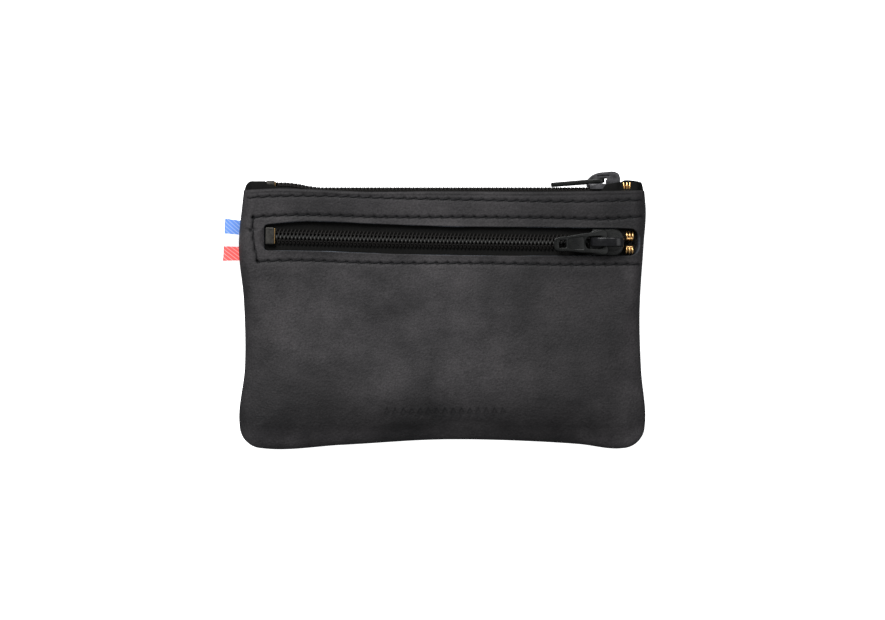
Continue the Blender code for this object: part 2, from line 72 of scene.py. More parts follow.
# Leather shell, on the CAD model's outline
LEATHER = 1.15
BEND = 1.25
SEAM_GAP = 0.1
RIBBON_GAP = 0.3
FLANGE = 5.0
MOUTH_FLANGE = 1.7
SIDE_ROUND = 4.0
BASE_ROUND = 17.0
CORNER_RADIUS = 7.5
LEFT_CORNER = (-57.8, -33.8)
RIGHT_CORNER = (57.6, -33.8)
LEFT_SIDE = [(-63.9, 41.5), (-64.4, 37.2), (-65.5, 24.1), (-63.9, 6.0), (-63.6, -15.1)]
BASE_EDGE = [(-32.2, -40.2), (0.0, -38.45), (28.2, -39.0), (44.0, -39.95)]
RIGHT_SIDE = [(63.9, -16.1), (63.4, 2.0), (64.7, 24.1), (65.4, 35.2), (64.95, 41.5)]
MOUTH_EDGE = [
    (-64.2, 41.6), (-52.0, 42.1), (-42.0, 41.8), (-30.0, 41.2), (0.0, 41.2), (30.0, 41.1), (65.0, 41.5),
]
WALL_TURN = 48.0
OUTLINE_STEP = 0.8

# The window in the front, and the row of stamped lozenges near its base
WINDOW_TOP = [
    (-56.0, 30.6), (-47.6, 31.4), (-38.0, 31.5), (-25.0, 30.9), (0.0, 30.0), (30.0, 29.7), (58.0, 29.3),
]
WINDOW_BASE = [(59.0, 20.5), (30.0, 20.5), (0.0, 20.7), (-25.0, 21.4), (-45.0, 22.1), (-56.0, 22.2)]
WINDOW_LEFT = -57.0
WINDOW_RIGHT = 63.25
STAMP_X = (-19.0, 20.6)
STAMP_Y = -29.8
STAMP_SIZE = (1.9, 3.9)
STAMP_PITCH = 2.65
STAMP_DEPTH = 0.16
STAMP_MARGIN = (1.0, 3.0)

# Stitching: rows in X and Y on the front. Each stitch leaves a dent, and a slanted slit at each hole.
PITCH = 3.54
THREAD = 0.2
SLIT_TURN = radians(-50.0)
MAIN_ROW = [
    (-62.2, 39.1), (-53.0, 39.5), (-40.0, 39.6), (-20.0, 39.0), (12.0, 38.3), (45.0, 37.8), (63.4, 38.3),
]
POCKET_TOP_ROW = [
    (-60.6, 32.8), (-54.0, 33.3), (-42.0, 33.5), (-22.0, 32.9), (12.0, 32.8), (42.0, 32.4), (51.0, 32.1),
    (63.6, 33.1),
]
POCKET_END_ROW = [(-60.6, 32.8), (-60.5, 26.0), (-59.1, 18.7)]
POCKET_BASE_ROW = [(-59.1, 18.7), (-50.0, 19.0), (-22.0, 18.2), (12.0, 18.1), (42.0, 17.6), (62.8, 17.8)]
SPARE_HOLE = [(-61.6, 28.6), (-61.2, 28.6)]
BACK_ROW = [(-54.0, 39.5), (54.0, 39.5)]
STITCH_DENT = 0.24
SLIT_DEPTH = 0.45

# How far beside a stitch row, a hole's edge and the mouth's edge the leather gets extra points
STITCH_STRIPS = (-1.3, -0.95, -0.65, -0.4, -0.2, 0.0, 0.2, 0.4, 0.65, 0.95, 1.3)
HOLE_STRIPS = (0.25, 0.5, 0.8, 1.15, 1.6)
MOUTH_STRIPS = (0.12, 0.3, 0.55, 0.85, 1.1, 1.35, 1.6, 1.9)
FRONT_GRID = 0.75
BACK_GRID = 1.5
LINING_GRID = 2.2
STAMP_GRID = 0.3

# Zips: u along the zip, v across it, w out of the tape, from the tape's outer face. A coil's loop is
# given as (v, w, share of the pitch), and its core cord as (v, w, radius).
COIL_PITCH = 1.214
COIL_WIRE = 0.28
COIL_LOOP = [
    (-0.2, 0.75, 0.0), (0.05, 1.18, 0.0), (0.5, 1.42, 0.02), (1.2, 1.16, 0.14), (1.9, 0.82, 0.36),
    (2.3, 0.56, 0.52), (2.32, 0.38, 0.60), (1.9, 0.22, 0.68), (1.0, 0.22, 0.82), (0.2, 0.35, 0.95),
    (-0.2, 0.75, 1.0),
]
COIL_CORE = (1.25, 0.5, 0.3)
WIRE_SIDES = 8
FRONT_TAPE = (-58.4, 61.71)
MAIN_TAPE = (-63.8, 64.7)
TAPE_THICK = 0.33
BENT_TAPE_THICK = 0.3
TAPE_LIPS = (-48.0, 50.0)
# How a lip rises towards its end: (rise, where it starts, over what length)
LEFT_LIP_STEPS = [(1.75, -50.5, 2.5), (0.6, -53.4, 1.0), (1.05, -55.9, 0.9)]
RIGHT_LIP_STEPS = [(2.5, 50.3, 2.4), (0.6, 53.0, 4.0), (0.7, 56.9, 1.6), (-0.4, 59.5, 4.0)]
FRONT_CHAIN = (-53.6, 58.3)
MAIN_CHAIN = (-53.7, 57.6)
# A claw's u, and the v of its inner and outer ends
FRONT_CLAW = (58.5, 0.75, 3.85)
MAIN_CLAW = (57.8, 0.7, 3.1)
FRONT_STOP_U = -56.5
MAIN_STOP_U = -56.6
STOP_RISE = 1.6

# Sliders and pullers: the hinge line's u and w, and the puller's angles at rest
FRONT_HINGE_U = 52.0
MAIN_HINGE_U = 51.4
HINGE_HEIGHT = 3.7
FRONT_YAW = 3.5
MAIN_DROOP = 4.5

# Ribbon, folded outside the left seam
RIBBON_Y = 25.6
RIBBON_WIDTH = 13.0
RIBBON_THICK = 0.16
RIBBON_HINGE = (-65.8, RIBBON_Y, SEAM_Z)
RIBBON_TILT = radians(-3.0)

# The centre of the painted pool of light on the leather, in metres
PAINTED_LIGHT_CENTRE = (-0.012, -0.006, 0.0125)


def smoothstep(value):
    value = np.clip(value, 0.0, 1.0)
    return value * value * (3.0 - 2.0 * value)


def mound(away, width):
    """A smooth bump: 1 where away is 0, gone at about twice its width."""
    return np.exp(-((away / width) ** 2))


def quarter_round(share):
    """The height of a quarter circle: 1 at a share of 0, down to 0 at 1."""
    return np.sqrt(1.0 - np.clip(share, 0.0, 1.0) ** 2)


class ZipLine:
    """Turns a zip's own u, v, w into X, Y, Z, with the small sway and lift of a soft zip."""

    def __init__(self, origin, along, across, out, sway, lift):
        self.origin = np.array(origin)
        self.axes = np.array([along, across, out])
        self.sway = sway
        self.lift = lift

    def place(self, points, soft=True):
        points = np.array(points, float)
        if soft:
            points[:, 1] += self.sway(points[:, 0])
            points[:, 2] += self.lift(points[:, 0])
        return self.origin + points @ self.axes


def front_sway(u):
    return -0.4 * np.cos(np.clip(u / 56.0, -1.0, 1.0) * pi / 2)


def main_lift(u):
    return STOP_RISE * smoothstep((-38.5 - u) / 12.5)


def no_offset(u):
    return np.zeros_like(u)


FRONT_TILT = radians(-1.1)
FRONT_ZIP = ZipLine(
    (0.0, 25.8, 10.85), (cos(FRONT_TILT), sin(FRONT_TILT), 0), (-sin(FRONT_TILT), cos(FRONT_TILT), 0),
    (0, 0, 1), front_sway, no_offset,
)
MAIN_ZIP = ZipLine((0.0, 41.1, SEAM_Z), (1, 0, 0), (0, 0, -1), (0, 1, 0), no_offset, main_lift)


# --- Shapes in millimetres


class Shape:
    """Points and faces gathered from several solids."""

    def __init__(self):
        self.points = []
        self.faces = []

    def add(self, points, faces):
        base = len(self.points)
        self.points.extend(tuple(float(value) for value in p) for p in points)
        self.faces.extend(tuple(int(i) + base for i in face) for face in faces)

    def add_placed(self, other, line, u=0.0):
        """Adds a stiff shape, drawn along a zip about u = 0, at u."""
        self.add(line.place(np.array(other.points) + (u, 0.0, 0.0), soft=False), other.faces)

    def rings(self, rings):
        """A skin through rings of equal length, capped at both ends."""
        count = len(rings[0])
        last = (len(rings) - 1) * count
        faces = []
        for i in range(0, last, count):
            for k in range(count):
                after = (k + 1) % count
                faces.append((i + k, i + after, i + count + after, i + count + k))
        faces.append(tuple(reversed(range(count))))
        faces.append(tuple(range(last, last + count)))
        self.add(np.concatenate(rings), faces)

    def tube(self, path, radii, sides=8):
        """A round bar along a path."""
        path = np.array(path, float)
        radii = np.broadcast_to(radii, len(path))
        tangents = unit(np.gradient(path, axis=0))
        across = unit(np.cross(tangents, (0.0, 0.0, 1.0)) + 1e-9)
        up = np.cross(across, tangents)
        turns = np.arange(sides) * 2 * pi / sides
        made = []
        for at, aside, above, radius in zip(path, across, up, radii):
            made.append(at + radius * (np.outer(np.cos(turns), aside) + np.outer(np.sin(turns), above)))
        self.rings([ring[::-1] for ring in made])


def rows_of(*values):
    """Coordinates side by side, each an array or one number for every row."""
    return np.stack(np.broadcast_arrays(*values), axis=-1)


def unit(vectors):
    return vectors / np.linalg.norm(vectors, axis=1, keepdims=True)


def left_of(path_steps):
    """Directions at a right angle to the steps of a flat path, on its left."""
    return unit(rows_of(-path_steps[:, 1], path_steps[:, 0]))


def run_along(path):
    """How far along a path each of its points is."""
    return np.concatenate([[0.0], np.cumsum(np.linalg.norm(np.diff(path, axis=0), axis=1))])


def smooth_path(points, spacing):
    """Points along a smooth curve through the given ones."""
    points = np.array(points, float)
    spans = np.linalg.norm(np.diff(points, axis=0), axis=1)
    ways = np.diff(points, axis=0) / spans[:, None]
    inner = (ways[:-1] * spans[1:, None] + ways[1:] * spans[:-1, None]) / (spans[:-1] + spans[1:])[:, None]
    slopes = np.concatenate([ways[:1], inner, ways[-1:]])
    made = []
    for i, span in enumerate(spans):
        steps = max(round(float(span) / spacing), 1)
        for t in np.arange(steps) / steps:
            ease = t * t * (3.0 - 2.0 * t)
            leaving = slopes[i] * span * t * (1.0 - t) ** 2
            arriving = slopes[i + 1] * span * t * t * (t - 1.0)
            made.append(points[i] * (1.0 - ease) + points[i + 1] * ease + leaving + arriving)
    made.append(points[-1])
    return np.array(made)


def resampled(path, where, stations):
    """Points of a path at the stations, when where says how far along its own points are."""
    return rows_of(*(np.interp(stations, where, column) for column in path.T))


def even_path(points, spacing):
    """The same curve with its points evenly spaced."""
    fine = smooth_path(points, spacing / 6)
    lengths = run_along(fine)
    stations = np.linspace(0.0, lengths[-1], max(round(lengths[-1] / spacing), 1) + 1)
    return resampled(fine, lengths, stations)


def arc(centre, radius, start, end, steps):
    turns = np.radians(np.linspace(start, end, steps + 1))
    return [(centre[0] + radius * cos(t), centre[1] + radius * sin(t)) for t in turns]


def rounded_box(left, right, low, high, radius, steps=5):
    made = arc((right - radius, low + radius), radius, -90, 0, steps)
    made += arc((right - radius, high - radius), radius, 0, 90, steps)
    made += arc((left + radius, high - radius), radius, 90, 180, steps)
    made += arc((left + radius, low + radius), radius, 180, 270, steps)
    return made


def new_object(name, data):
    obj = bpy.data.objects.new(name, data)
    bpy.context.scene.collection.objects.link(obj)
    return obj


def plate(outlines, low, high, bevel):
    """A flat piece with rounded edges: its first outline is the rim, the others are holes."""
    curve = bpy.data.curves.new("plate", "CURVE")
    curve.dimensions = "2D"
    curve.fill_mode = "BOTH"
    curve.extrude = (high - low) / 2 - bevel
    curve.bevel_depth = bevel
    curve.bevel_resolution = 3
    curve.offset = -bevel
    for outline in outlines:
        spline = curve.splines.new("POLY")
        spline.points.add(len(outline) - 1)
        for point, at in zip(spline.points, outline):
            point.co = (at[0], at[1], 0.0, 1.0)
        spline.use_cyclic_u = True
    obj = new_object("plate", curve)
    graph = bpy.context.evaluated_depsgraph_get()
    mesh = bpy.data.meshes.new_from_object(obj.evaluated_get(graph))
    made = Shape()
    points = [(v.co.x, v.co.y, v.co.z + (low + high) / 2) for v in mesh.vertices]
    made.add(points, [tuple(p.vertices) for p in mesh.polygons])
    bpy.data.objects.remove(obj)
    bpy.data.curves.remove(curve)
    bpy.data.meshes.remove(mesh)
    return made


def on_edge(shape):
    """A plate turned to stand along a zip: its x and y become u and w, its thickness v."""
    made = Shape()
    made.add([(x, z, y) for x, y, z in shape.points], [tuple(reversed(face)) for face in shape.faces])
    return made


def paint(mesh, name, values):
    """Gives the mesh a value at each vertex for its material to read; the rest are 0."""
    full = np.zeros(len(mesh.vertices), np.float32)
    full[: len(values)] = values
    mesh.attributes.new(name, "FLOAT", "POINT").data.foreach_set("value", full)


def piece(name, shape, look, node=None, body="purse", sharp=40.0):
    """Makes the shape a named object, riding on a body and standing for a CAD node."""
    mesh = bpy.data.meshes.new(name)
    mesh.from_pydata([Vector(p) * MM for p in shape.points], [], shape.faces)
    bm = bmesh.new()
    bm.from_mesh(mesh)
    bmesh.ops.remove_doubles(bm, verts=bm.verts, dist=1e-7)
    bmesh.ops.recalc_face_normals(bm, faces=bm.faces)
    bm.to_mesh(mesh)
    bm.free()
    mesh.shade_smooth()
    mesh.set_sharp_from_angle(angle=radians(sharp))
    mesh.materials.append(look)
    obj = new_object(name, mesh)
    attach(obj, body)
    if node:
        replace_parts(obj, node)
    return obj


def thicken(obj, label, thickness, offset):
    solid = obj.modifiers.new(label, "SOLIDIFY")
    solid.thickness = thickness * MM
    solid.offset = offset
    return solid


# --- Materials


class Look:
    """A procedural material in the making, with short names for its nodes."""

    def __init__(self, name, roughness, metallic=0.0, **settings):
        self.material = bpy.data.materials.new(name)
        self.material.use_nodes = True
        self.tree = self.material.node_tree
        self.shader = self.tree.nodes["Principled BSDF"]
        self.shader.inputs["Roughness"].default_value = roughness
        self.shader.inputs["Metallic"].default_value = metallic
        for setting, value in settings.items():
            self.shader.inputs[setting.replace("_", " ")].default_value = value
        self.place = self.node("ShaderNodeTexCoord").outputs["Object"]
        self.height = None

    def node(self, kind, **settings):
        made = self.tree.nodes.new(kind)
        for setting, value in settings.items():
            setattr(made, setting, value)
        return made

    def link(self, source, target):
        self.tree.links.new(source, target)

    def noise(self, size, detail=2.0, rough=0.5, stretch=None):
        """Noise from 0 to 1 whose blobs are about size millimetres across."""
        made = self.node("ShaderNodeTexNoise")
        made.inputs["Scale"].default_value = 1.0 / (size * MM)
        made.inputs["Detail"].default_value = detail
        made.inputs["Roughness"].default_value = rough
        where = self.place
        if stretch:
            scaled = self.node("ShaderNodeVectorMath", operation="MULTIPLY")
            scaled.inputs[1].default_value = stretch
            self.link(self.place, scaled.inputs[0])
            where = scaled.outputs[0]
        self.link(where, made.inputs["Vector"])
        return made.outputs["Fac"]

    def cells(self, size):
        made = self.node("ShaderNodeTexVoronoi", feature="SMOOTH_F1")
        made.inputs["Scale"].default_value = 1.0 / (size * MM)
        made.inputs["Smoothness"].default_value = 0.6
        self.link(self.place, made.inputs["Vector"])
        return made.outputs["Distance"]

    def between(self, value, low, high, start=0.0, end=1.0):
        """The value taken from start..end to low..high."""
        made = self.node("ShaderNodeMapRange")
        for socket, number in zip(("From Min", "From Max", "To Min", "To Max"), (start, end, low, high)):
            made.inputs[socket].default_value = number
        self.link(value, made.inputs["Value"])
        return made.outputs["Result"]

    def math(self, operation, first, second=None):
        made = self.node("ShaderNodeMath", operation=operation)
        for socket, value in zip(made.inputs, (first, second)):
            if value is None:
                continue
            if isinstance(value, (int, float)):
                socket.default_value = value
            else:
                self.link(value, socket)
        return made.outputs[0]

    def product(self, *factors):
        total = factors[0]
        for factor in factors[1:]:
            total = self.math("MULTIPLY", total, factor)
        return total

    def axes(self, vector):
        """A vector's X, Y and Z."""
        made = self.node("ShaderNodeSeparateXYZ")
        self.link(vector, made.inputs[0])
        return made.outputs

    def ripple(self, value, pitch):
        """A sine wave over the value, from -1 to 1."""
        return self.math("SINE", self.math("MULTIPLY", value, 2 * pi / pitch))

    def mix(self, factor, first, second):
        """One colour where the factor is 0, the other where it is 1."""
        made = self.node("ShaderNodeMix", data_type="RGBA")
        self.link(factor, made.inputs["Factor"])
        for socket, value in ((made.inputs[6], first), (made.inputs[7], second)):
            if isinstance(value, tuple):
                socket.default_value = (*value, 1.0)
            else:
                self.link(value, socket)
        return made.outputs[2]

    def attribute(self, name):
        return self.node("ShaderNodeAttribute", attribute_name=name).outputs["Fac"]

    def colour(self, value):
        if isinstance(value, tuple):
            self.shader.inputs["Base Color"].default_value = (*value, 1.0)
        else:
            self.link(value, self.shader.inputs["Base Color"])

    def roughness(self, value):
        self.link(value, self.shader.inputs["Roughness"])

    def bump(self, height, depth, strength=1.0):
        """Adds relief of about that depth in millimetres."""
        made = self.node("ShaderNodeBump")
        made.inputs["Distance"].default_value = depth * MM
        made.inputs["Strength"].default_value = strength
        self.link(height, made.inputs["Height"])
        if self.height:
            self.link(self.height, made.inputs["Normal"])
        self.height = made.outputs["Normal"]
        self.link(self.height, self.shader.inputs["Normal"])


def leather_look():
    """Nearly black waxed leather with painted light: a painted pool of light in the middle, painted shade
    to the right and along the base.

    Places here are in metres, as the object's own coordinates are.
    """
    look = Look("waxed leather", 0.6, Specular_IOR_Level=0.16)
    x, y, _ = look.axes(look.place)
    middle = look.node("ShaderNodeVectorMath", operation="DISTANCE")
    look.link(look.place, middle.inputs[0])
    middle.inputs[1].default_value = PAINTED_LIGHT_CENTRE
    drift = look.product(look.math("SUBTRACT", look.noise(30.0, 3.0, 0.5), 0.5), 0.030)
    # a mask for the painted shade towards the base
    painted_shade_to_base = look.between(look.math("ADD", y, drift), 1.0, 0.0, -0.029, -0.014)
    off_corners = look.between(look.math("ABSOLUTE", x), 1.0, 0.2, 0.036, 0.061)
    large = look.noise(20.0, 3.0, 0.55)
    clouds = look.noise(6.0, 4.0, 0.6)
    pores = look.noise(0.55, 3.0, 0.7)
    overall = 0.378
    tone_and_painted_light = look.product(
        look.between(large, 0.61, 1.35, 0.35, 0.65),
        look.between(clouds, 0.84, 1.16, 0.3, 0.7),
        look.between(pores, 0.62, 1.42, 0.3, 0.7),
        # painted light: brighter at the painted pool of light, painted shade to the right, a painted
        # highlight on the right wall
        look.between(look.math("ADD", middle.outputs["Value"], drift), 1.2, 0.9, 0.012, 0.046),
        look.between(look.math("ADD", x, drift), 1.0, 0.66, 0.008, 0.050),
        look.between(x, 1.0, 1.6, 0.054, 0.064),
        # painted shade towards the base except in its corners, then a painted highlight along its very
        # edge
        look.between(look.product(painted_shade_to_base, off_corners), 1.0, 0.42),
        look.between(y, 2.4, 1.0, -0.039, -0.034),
        overall,
    )
    tint = look.mix(large, (0.0575, 0.0555, 0.0595), (0.0622, 0.0565, 0.0580))
    base = look.mix(tone_and_painted_light, (0.0, 0.0, 0.0), tint)
    # painted shade at the stitches and in their holes, and darker stamped lozenges, from the panels' dark
    # values
    base = look.mix(look.attribute("dark"), base, (0.003, 0.003, 0.0035))
    look.colour(base)
    look.roughness(look.between(clouds, 0.52, 0.70, 0.3, 0.7))
    look.bump(look.cells(0.8), 0.08, 0.9)
    look.bump(look.noise(0.4, 3.0, 0.65), 0.10, 1.0)
    look.bump(look.noise(4.0, 3.0, 0.55, (0.6, 1.4, 1.0)), 0.22, 0.65)
    return look.material


def cut_edge_look():
    look = Look("leather cut edge", 0.65, Specular_IOR_Level=0.2)
    fibres = look.between(look.noise(0.6, 3.0, 0.6), 0.0, 1.0, 0.35, 0.7)
    long_patches = look.between(look.noise(7.0, 2.0, 0.5), 0.0, 1.0, 0.4, 0.6)
    x, _, _ = look.axes(look.place)
    # painted shade on the cut edge at the window's right end
    painted_shade_at_right_end = look.between(x, 1.0, 0.15, 0.056, 0.061)
    pale_patches = look.product(fibres, long_patches, painted_shade_at_right_end)
    # the raw edge's own pale blue-grey, made brighter as a painted highlight along the window's edges
    look.colour(look.mix(pale_patches, (0.013, 0.015, 0.019), (0.15, 0.17, 0.205)))
    look.bump(look.noise(0.25, 3.0, 0.6), 0.05, 0.8)
    return look.material


def suede_look():
    look = Look("leather flesh side", 0.9, Sheen_Weight=0.3)
    look.colour(look.mix(look.noise(0.8, 4.0, 0.7), (0.020, 0.019, 0.019), (0.045, 0.042, 0.040)))
    look.bump(look.noise(0.3, 4.0, 0.7), 0.06, 0.8)
    return look.material


def woven_look(name, dark, light, thread_mm, roughness=0.85):
    """Plain weave: two crossed sets of fine ribs."""
    look = Look(name, roughness, Specular_IOR_Level=0.08)
    x, y, z = look.axes(look.place)
    across_zip = look.math("ADD", y, z)
    warp = look.ripple(x, thread_mm * MM)
    weft = look.ripple(across_zip, thread_mm * MM)
    weave = look.between(look.product(warp, weft), 0.0, 1.0, -1.0, 1.0)
    fuzz = look.between(look.noise(0.5, 3.0, 0.6), 0.0, 1.0, 0.3, 0.8)
    look.colour(look.mix(look.product(weave, fuzz), dark, light))
    look.bump(weave, 0.06, 0.7)
    look.bump(look.noise(0.2, 2.0, 0.6), 0.03, 0.6)
    return look.material


def nylon_look():
    """Dull along the loops, glossy on the heads that rub against each other; the heads' lighter colour is
    a painted highlight.
    """
    look = Look("coil nylon", 0.28, Specular_IOR_Level=0.15)
    head = look.attribute("head")
    # lighter colour on the heads: a painted highlight
    look.colour(look.mix(head, (0.0062, 0.0055, 0.0050), (0.036, 0.036, 0.0345)))
    shine = look.between(head, 0.58, 0.12)
    look.roughness(look.math("ADD", shine, look.product(look.noise(0.6), 0.16)))
    return look.material


def metal_look(name, dark, light, roughness, metallic=1.0, shine=0.4):
    look = Look(name, roughness, metallic, Specular_IOR_Level=shine)
    wear = look.between(look.noise(1.6, 4.0, 0.65), 0.0, 1.0, 0.35, 0.7)
    look.colour(look.mix(wear, dark, light))
    look.roughness(look.between(look.noise(0.5, 3.0, 0.6), roughness * 0.8, roughness * 1.3))
    look.bump(look.noise(0.35, 3.0, 0.6), 0.01, 0.5)
    return look.material


def thread_look():
    look = Look("waxed thread", 0.75, Specular_IOR_Level=0.1)
    x, y, _ = look.axes(look.place)
    slant = look.math("ADD", x, look.product(y, 0.7))
    strands = look.between(look.ripple(slant, 0.35 * MM), 0.0, 1.0, -1.0, 1.0)
    look.colour(look.mix(strands, (0.003, 0.003, 0.0035), (0.010, 0.010, 0.011)))
    look.bump(strands, 0.04, 0.8)
    return look.material


def ribbon_look():
    """Three woven bands with a diagonal twill, read from the ribbon's own UV map in millimetres."""
    look = Look("tricolour twill", 0.8, Sheen_Weight=0.2)
    uv = look.node("ShaderNodeUVMap", uv_map="cloth")
    along, across, _ = look.axes(uv.outputs[0])
    bands = look.node("ShaderNodeValToRGB")
    bands.color_ramp.interpolation = "CONSTANT"
    red, white, blue = (0.93, 0.085, 0.07), (0.90, 0.89, 0.93), (0.09, 0.23, 0.66)
    for position, colour in ((0.0, red), (0.355, white), (0.655, blue)):
        stop = bands.color_ramp.elements.new(position) if position else bands.color_ramp.elements[0]
        stop.color = (*colour, 1.0)
    bands.color_ramp.elements.remove(bands.color_ramp.elements[-1])
    wobble = look.product(look.noise(0.8), 0.02)
    look.link(look.math("ADD", look.math("DIVIDE", across, RIBBON_WIDTH), wobble), bands.inputs["Fac"])
    slant = look.math("SUBTRACT", along, look.product(across, 1.4))
    twill = look.between(look.ripple(slant, 0.8), 0.0, 1.0, -1.0, 1.0)
    stripe = look.between(look.ripple(slant, 1.7), 0.0, 0.4, 0.75, 1.0)
    shaded = look.mix(look.product(twill, 0.16), bands.outputs["Color"], (0.20, 0.20, 0.26))
    look.colour(look.mix(stripe, shaded, (0.85, 0.86, 0.92)))
    look.bump(twill, 0.08, 0.8)
    return look.material


# --- The purse's outline and surface


def shell_outline():
    """Points from the mouth's left end round the base to its right end, with inward directions."""
    route = list(LEFT_SIDE)
    route += arc(LEFT_CORNER, CORNER_RADIUS, 180, 270, 6)
    route += BASE_EDGE
    route += arc(RIGHT_CORNER, CORNER_RADIUS, 270, 360, 6)
    route += RIGHT_SIDE
    points = even_path(route, OUTLINE_STEP)
    along = np.gradient(points, axis=0)
    level = np.clip((MOUTH_Y - points[:, 1]) / 12.0, 0.0, 1.0)
    return points, unit(rows_of(-along[:, 1], along[:, 0] * level))


OUTLINE, INWARD = shell_outline()


def wall_round(y):
    """Radius of the rounded edge: tight beside the zips, slack towards the base."""
    return SIDE_ROUND + (BASE_ROUND - SIDE_ROUND) * smoothstep((8.0 - y) / 30.0)


def seam_gap(points):
    """Half the gap between the panels, wider where the ribbon passes between them."""
    beside_ribbon = smoothstep((9.5 - abs(points[:, 1] - RIBBON_Y)) / 3.0) * (points[:, 0] < 0)
    return SEAM_GAP + (RIBBON_GAP - SEAM_GAP) * beside_ribbon


def nearest_on(path, points, closed=False):
    """(distance from a path, y of the nearest place on it) for each point."""
    best = np.full(len(points), np.inf)
    y_there = np.zeros(len(points))
    for a, b in zip(path, np.roll(path, -1, axis=0) if closed else path[1:]):
        span = b - a
        t = np.clip(((points - a) @ span) / (span @ span + 1e-12), 0.0, 1.0)
        gap = np.linalg.norm(points - a - t[:, None] * span, axis=1)
        closer = gap < best
        best[closer] = gap[closer]
        y_there[closer] = a[1] + t[closer] * span[1]
    return best, y_there


def path_distance(path, points, closed=False):
    return nearest_on(path, points, closed)[0]


def edge_distance(points):
    """Distance from the outline, carried straight up past the mouth, and the wall's radius there."""
    above = (0.0, 12.0)
    route = np.concatenate([[OUTLINE[0] + above], OUTLINE, [OUTLINE[-1] + above]])
    distance, y_there = nearest_on(route, points)
    return distance, wall_round(y_there)


def wall_height(inset, radius, gap):
    tall = TOP_Z - SEAM_Z - BEND - gap
    return gap + BEND + tall * quarter_round((radius - inset) / radius)


class Row:
    """A row of stitches along a curve: where its holes are, and how far a point is from it."""

    def __init__(self, corners, weight=1.0):
        self.path = even_path(corners, PITCH / 8)
        count = max(round(run_along(self.path)[-1] / PITCH), 1)
        stations = np.linspace(0.0, len(self.path) - 1, count + 1)
        self.holes = resampled(self.path, np.arange(len(self.path)), stations)
        self.weight = weight

    def offsets(self):
        """Points in strips beside the row, close enough to carry its dents."""
        across = left_of(np.gradient(self.path, axis=0))
        return [self.path + across * step for step in STITCH_STRIPS]

    def distance(self, points):
        return path_distance(self.path, points)

    def slits(self, points):
        """1 at the slanted holes, fading to 0 around them."""
        total = np.zeros(len(points))
        along = np.array((cos(SLIT_TURN), sin(SLIT_TURN)))
        for hole in self.holes:
            near = np.abs(points - hole).max(axis=1) < 2.0
            offset = points[near] - hole
            a = offset @ along
            b = offset @ np.array((-along[1], along[0]))
            total[near] += mound(a, 0.75) * mound(b, 0.3)
        return np.clip(total, 0.0, 1.0)


FRONT_ROWS = [
    Row(MAIN_ROW, 0.7), Row(POCKET_TOP_ROW), Row(POCKET_END_ROW, 0.8), Row(POCKET_BASE_ROW),
    Row(SPARE_HOLE, 0.7),
]
BACK_STITCHES = Row(BACK_ROW)


def mouth_y(x):
    path = smooth_path(MOUTH_EDGE, 2.0)
    return np.interp(x, path[:, 0], path[:, 1])


def window_outline():
    """The window's edge, anticlockwise from its lower left."""
    base = smooth_path(WINDOW_BASE[::-1], 0.6)
    top = smooth_path(WINDOW_TOP[::-1], 0.6)
    wide, tight = 3.6, 0.9
    right = arc((WINDOW_RIGHT - wide, base[-1][1] + wide), wide, -80, 0, 7)
    right += arc((WINDOW_RIGHT - wide, top[0][1] - wide), wide, 0, 80, 7)
    left = arc((WINDOW_LEFT + tight, top[-1][1] - 1.0), tight, 100, 180, 4)
    left += arc((WINDOW_LEFT + tight, base[0][1] + 1.0), tight, 180, 260, 4)
    return np.concatenate([base, right, top, left])


WINDOW = window_outline()


def lozenge_depth(points):
    """How deep the stamped lozenges are at each point, from 0 to 1."""
    middle = (STAMP_X[0] + STAMP_X[1]) / 2
    half = (STAMP_X[1] - STAMP_X[0]) / 2
    x, y = points[:, 0] - middle, points[:, 1] - STAMP_Y
    cell = (x / STAMP_PITCH + 0.5) % 1.0 - 0.5
    far = np.abs(cell * STAMP_PITCH) / (STAMP_SIZE[0] / 2) + np.abs(y) / (STAMP_SIZE[1] / 2)
    return np.where(np.abs(x) < half, smoothstep((1.12 - far) / 0.35), 0.0)


def slack(points):
    """Gentle hollows and swells of soft leather, in millimetres."""
    x, y = points[:, 0], points[:, 1]
    wave = 0.22 * np.sin(x / 15.0 + 0.6) * np.cos(y / 12.0 - 0.4)
    wave += 0.13 * np.sin(x / 7.0 - y / 9.0) * smoothstep((12.0 - y) / 10.0)
    hollow = 0.35 * mound(x + 8.0, 26.0) * mound(y + 6.0, 12.0)
    return wave - hollow


def front_surface(points):
    """(height over the seam plane, darkness) of the front leather's outer face; the darkness is painted
    shade along the stitches and in their holes, and darkens the stamped lozenges.
    """
    inset, radius = edge_distance(points)
    height = wall_height(inset, radius, SEAM_GAP)
    inner = smoothstep((inset - 0.5) / 4.0)
    height += slack(points) * inner
    dark = np.zeros(len(points))
    for row in FRONT_ROWS:
        far = row.distance(points)
        slit = row.slits(points)
        height -= row.weight * (STITCH_DENT * mound(far, 0.5) + SLIT_DEPTH * slit) * inner
        # painted shade along each stitch row and in its slanted holes
        dark += row.weight * (0.6 * mound(far, 0.42) + 0.95 * slit)
    from_window = path_distance(WINDOW, points, closed=True)
    curl = 0.30 + 0.14 * np.sin(points[:, 0] / 6.0 + 1.0) + 0.08 * np.sin(points[:, 0] / 2.1)
    height += curl * np.exp(-((from_window / 1.1) ** 1.5)) - 0.25 * mound(from_window, 3.0)
    below_mouth = mouth_y(points[:, 0]) - points[:, 1]
    height -= 0.75 * (1.0 - quarter_round(1.0 - below_mouth / 0.8))
    height -= 0.10 * mound(below_mouth - 1.35, 0.28)
    stamp = lozenge_depth(points)
    height -= STAMP_DEPTH * stamp
    dark += 0.55 * (stamp * (1.0 - stamp) * 4.0) + 0.25 * stamp
    return height, np.clip(dark, 0.0, 1.0)


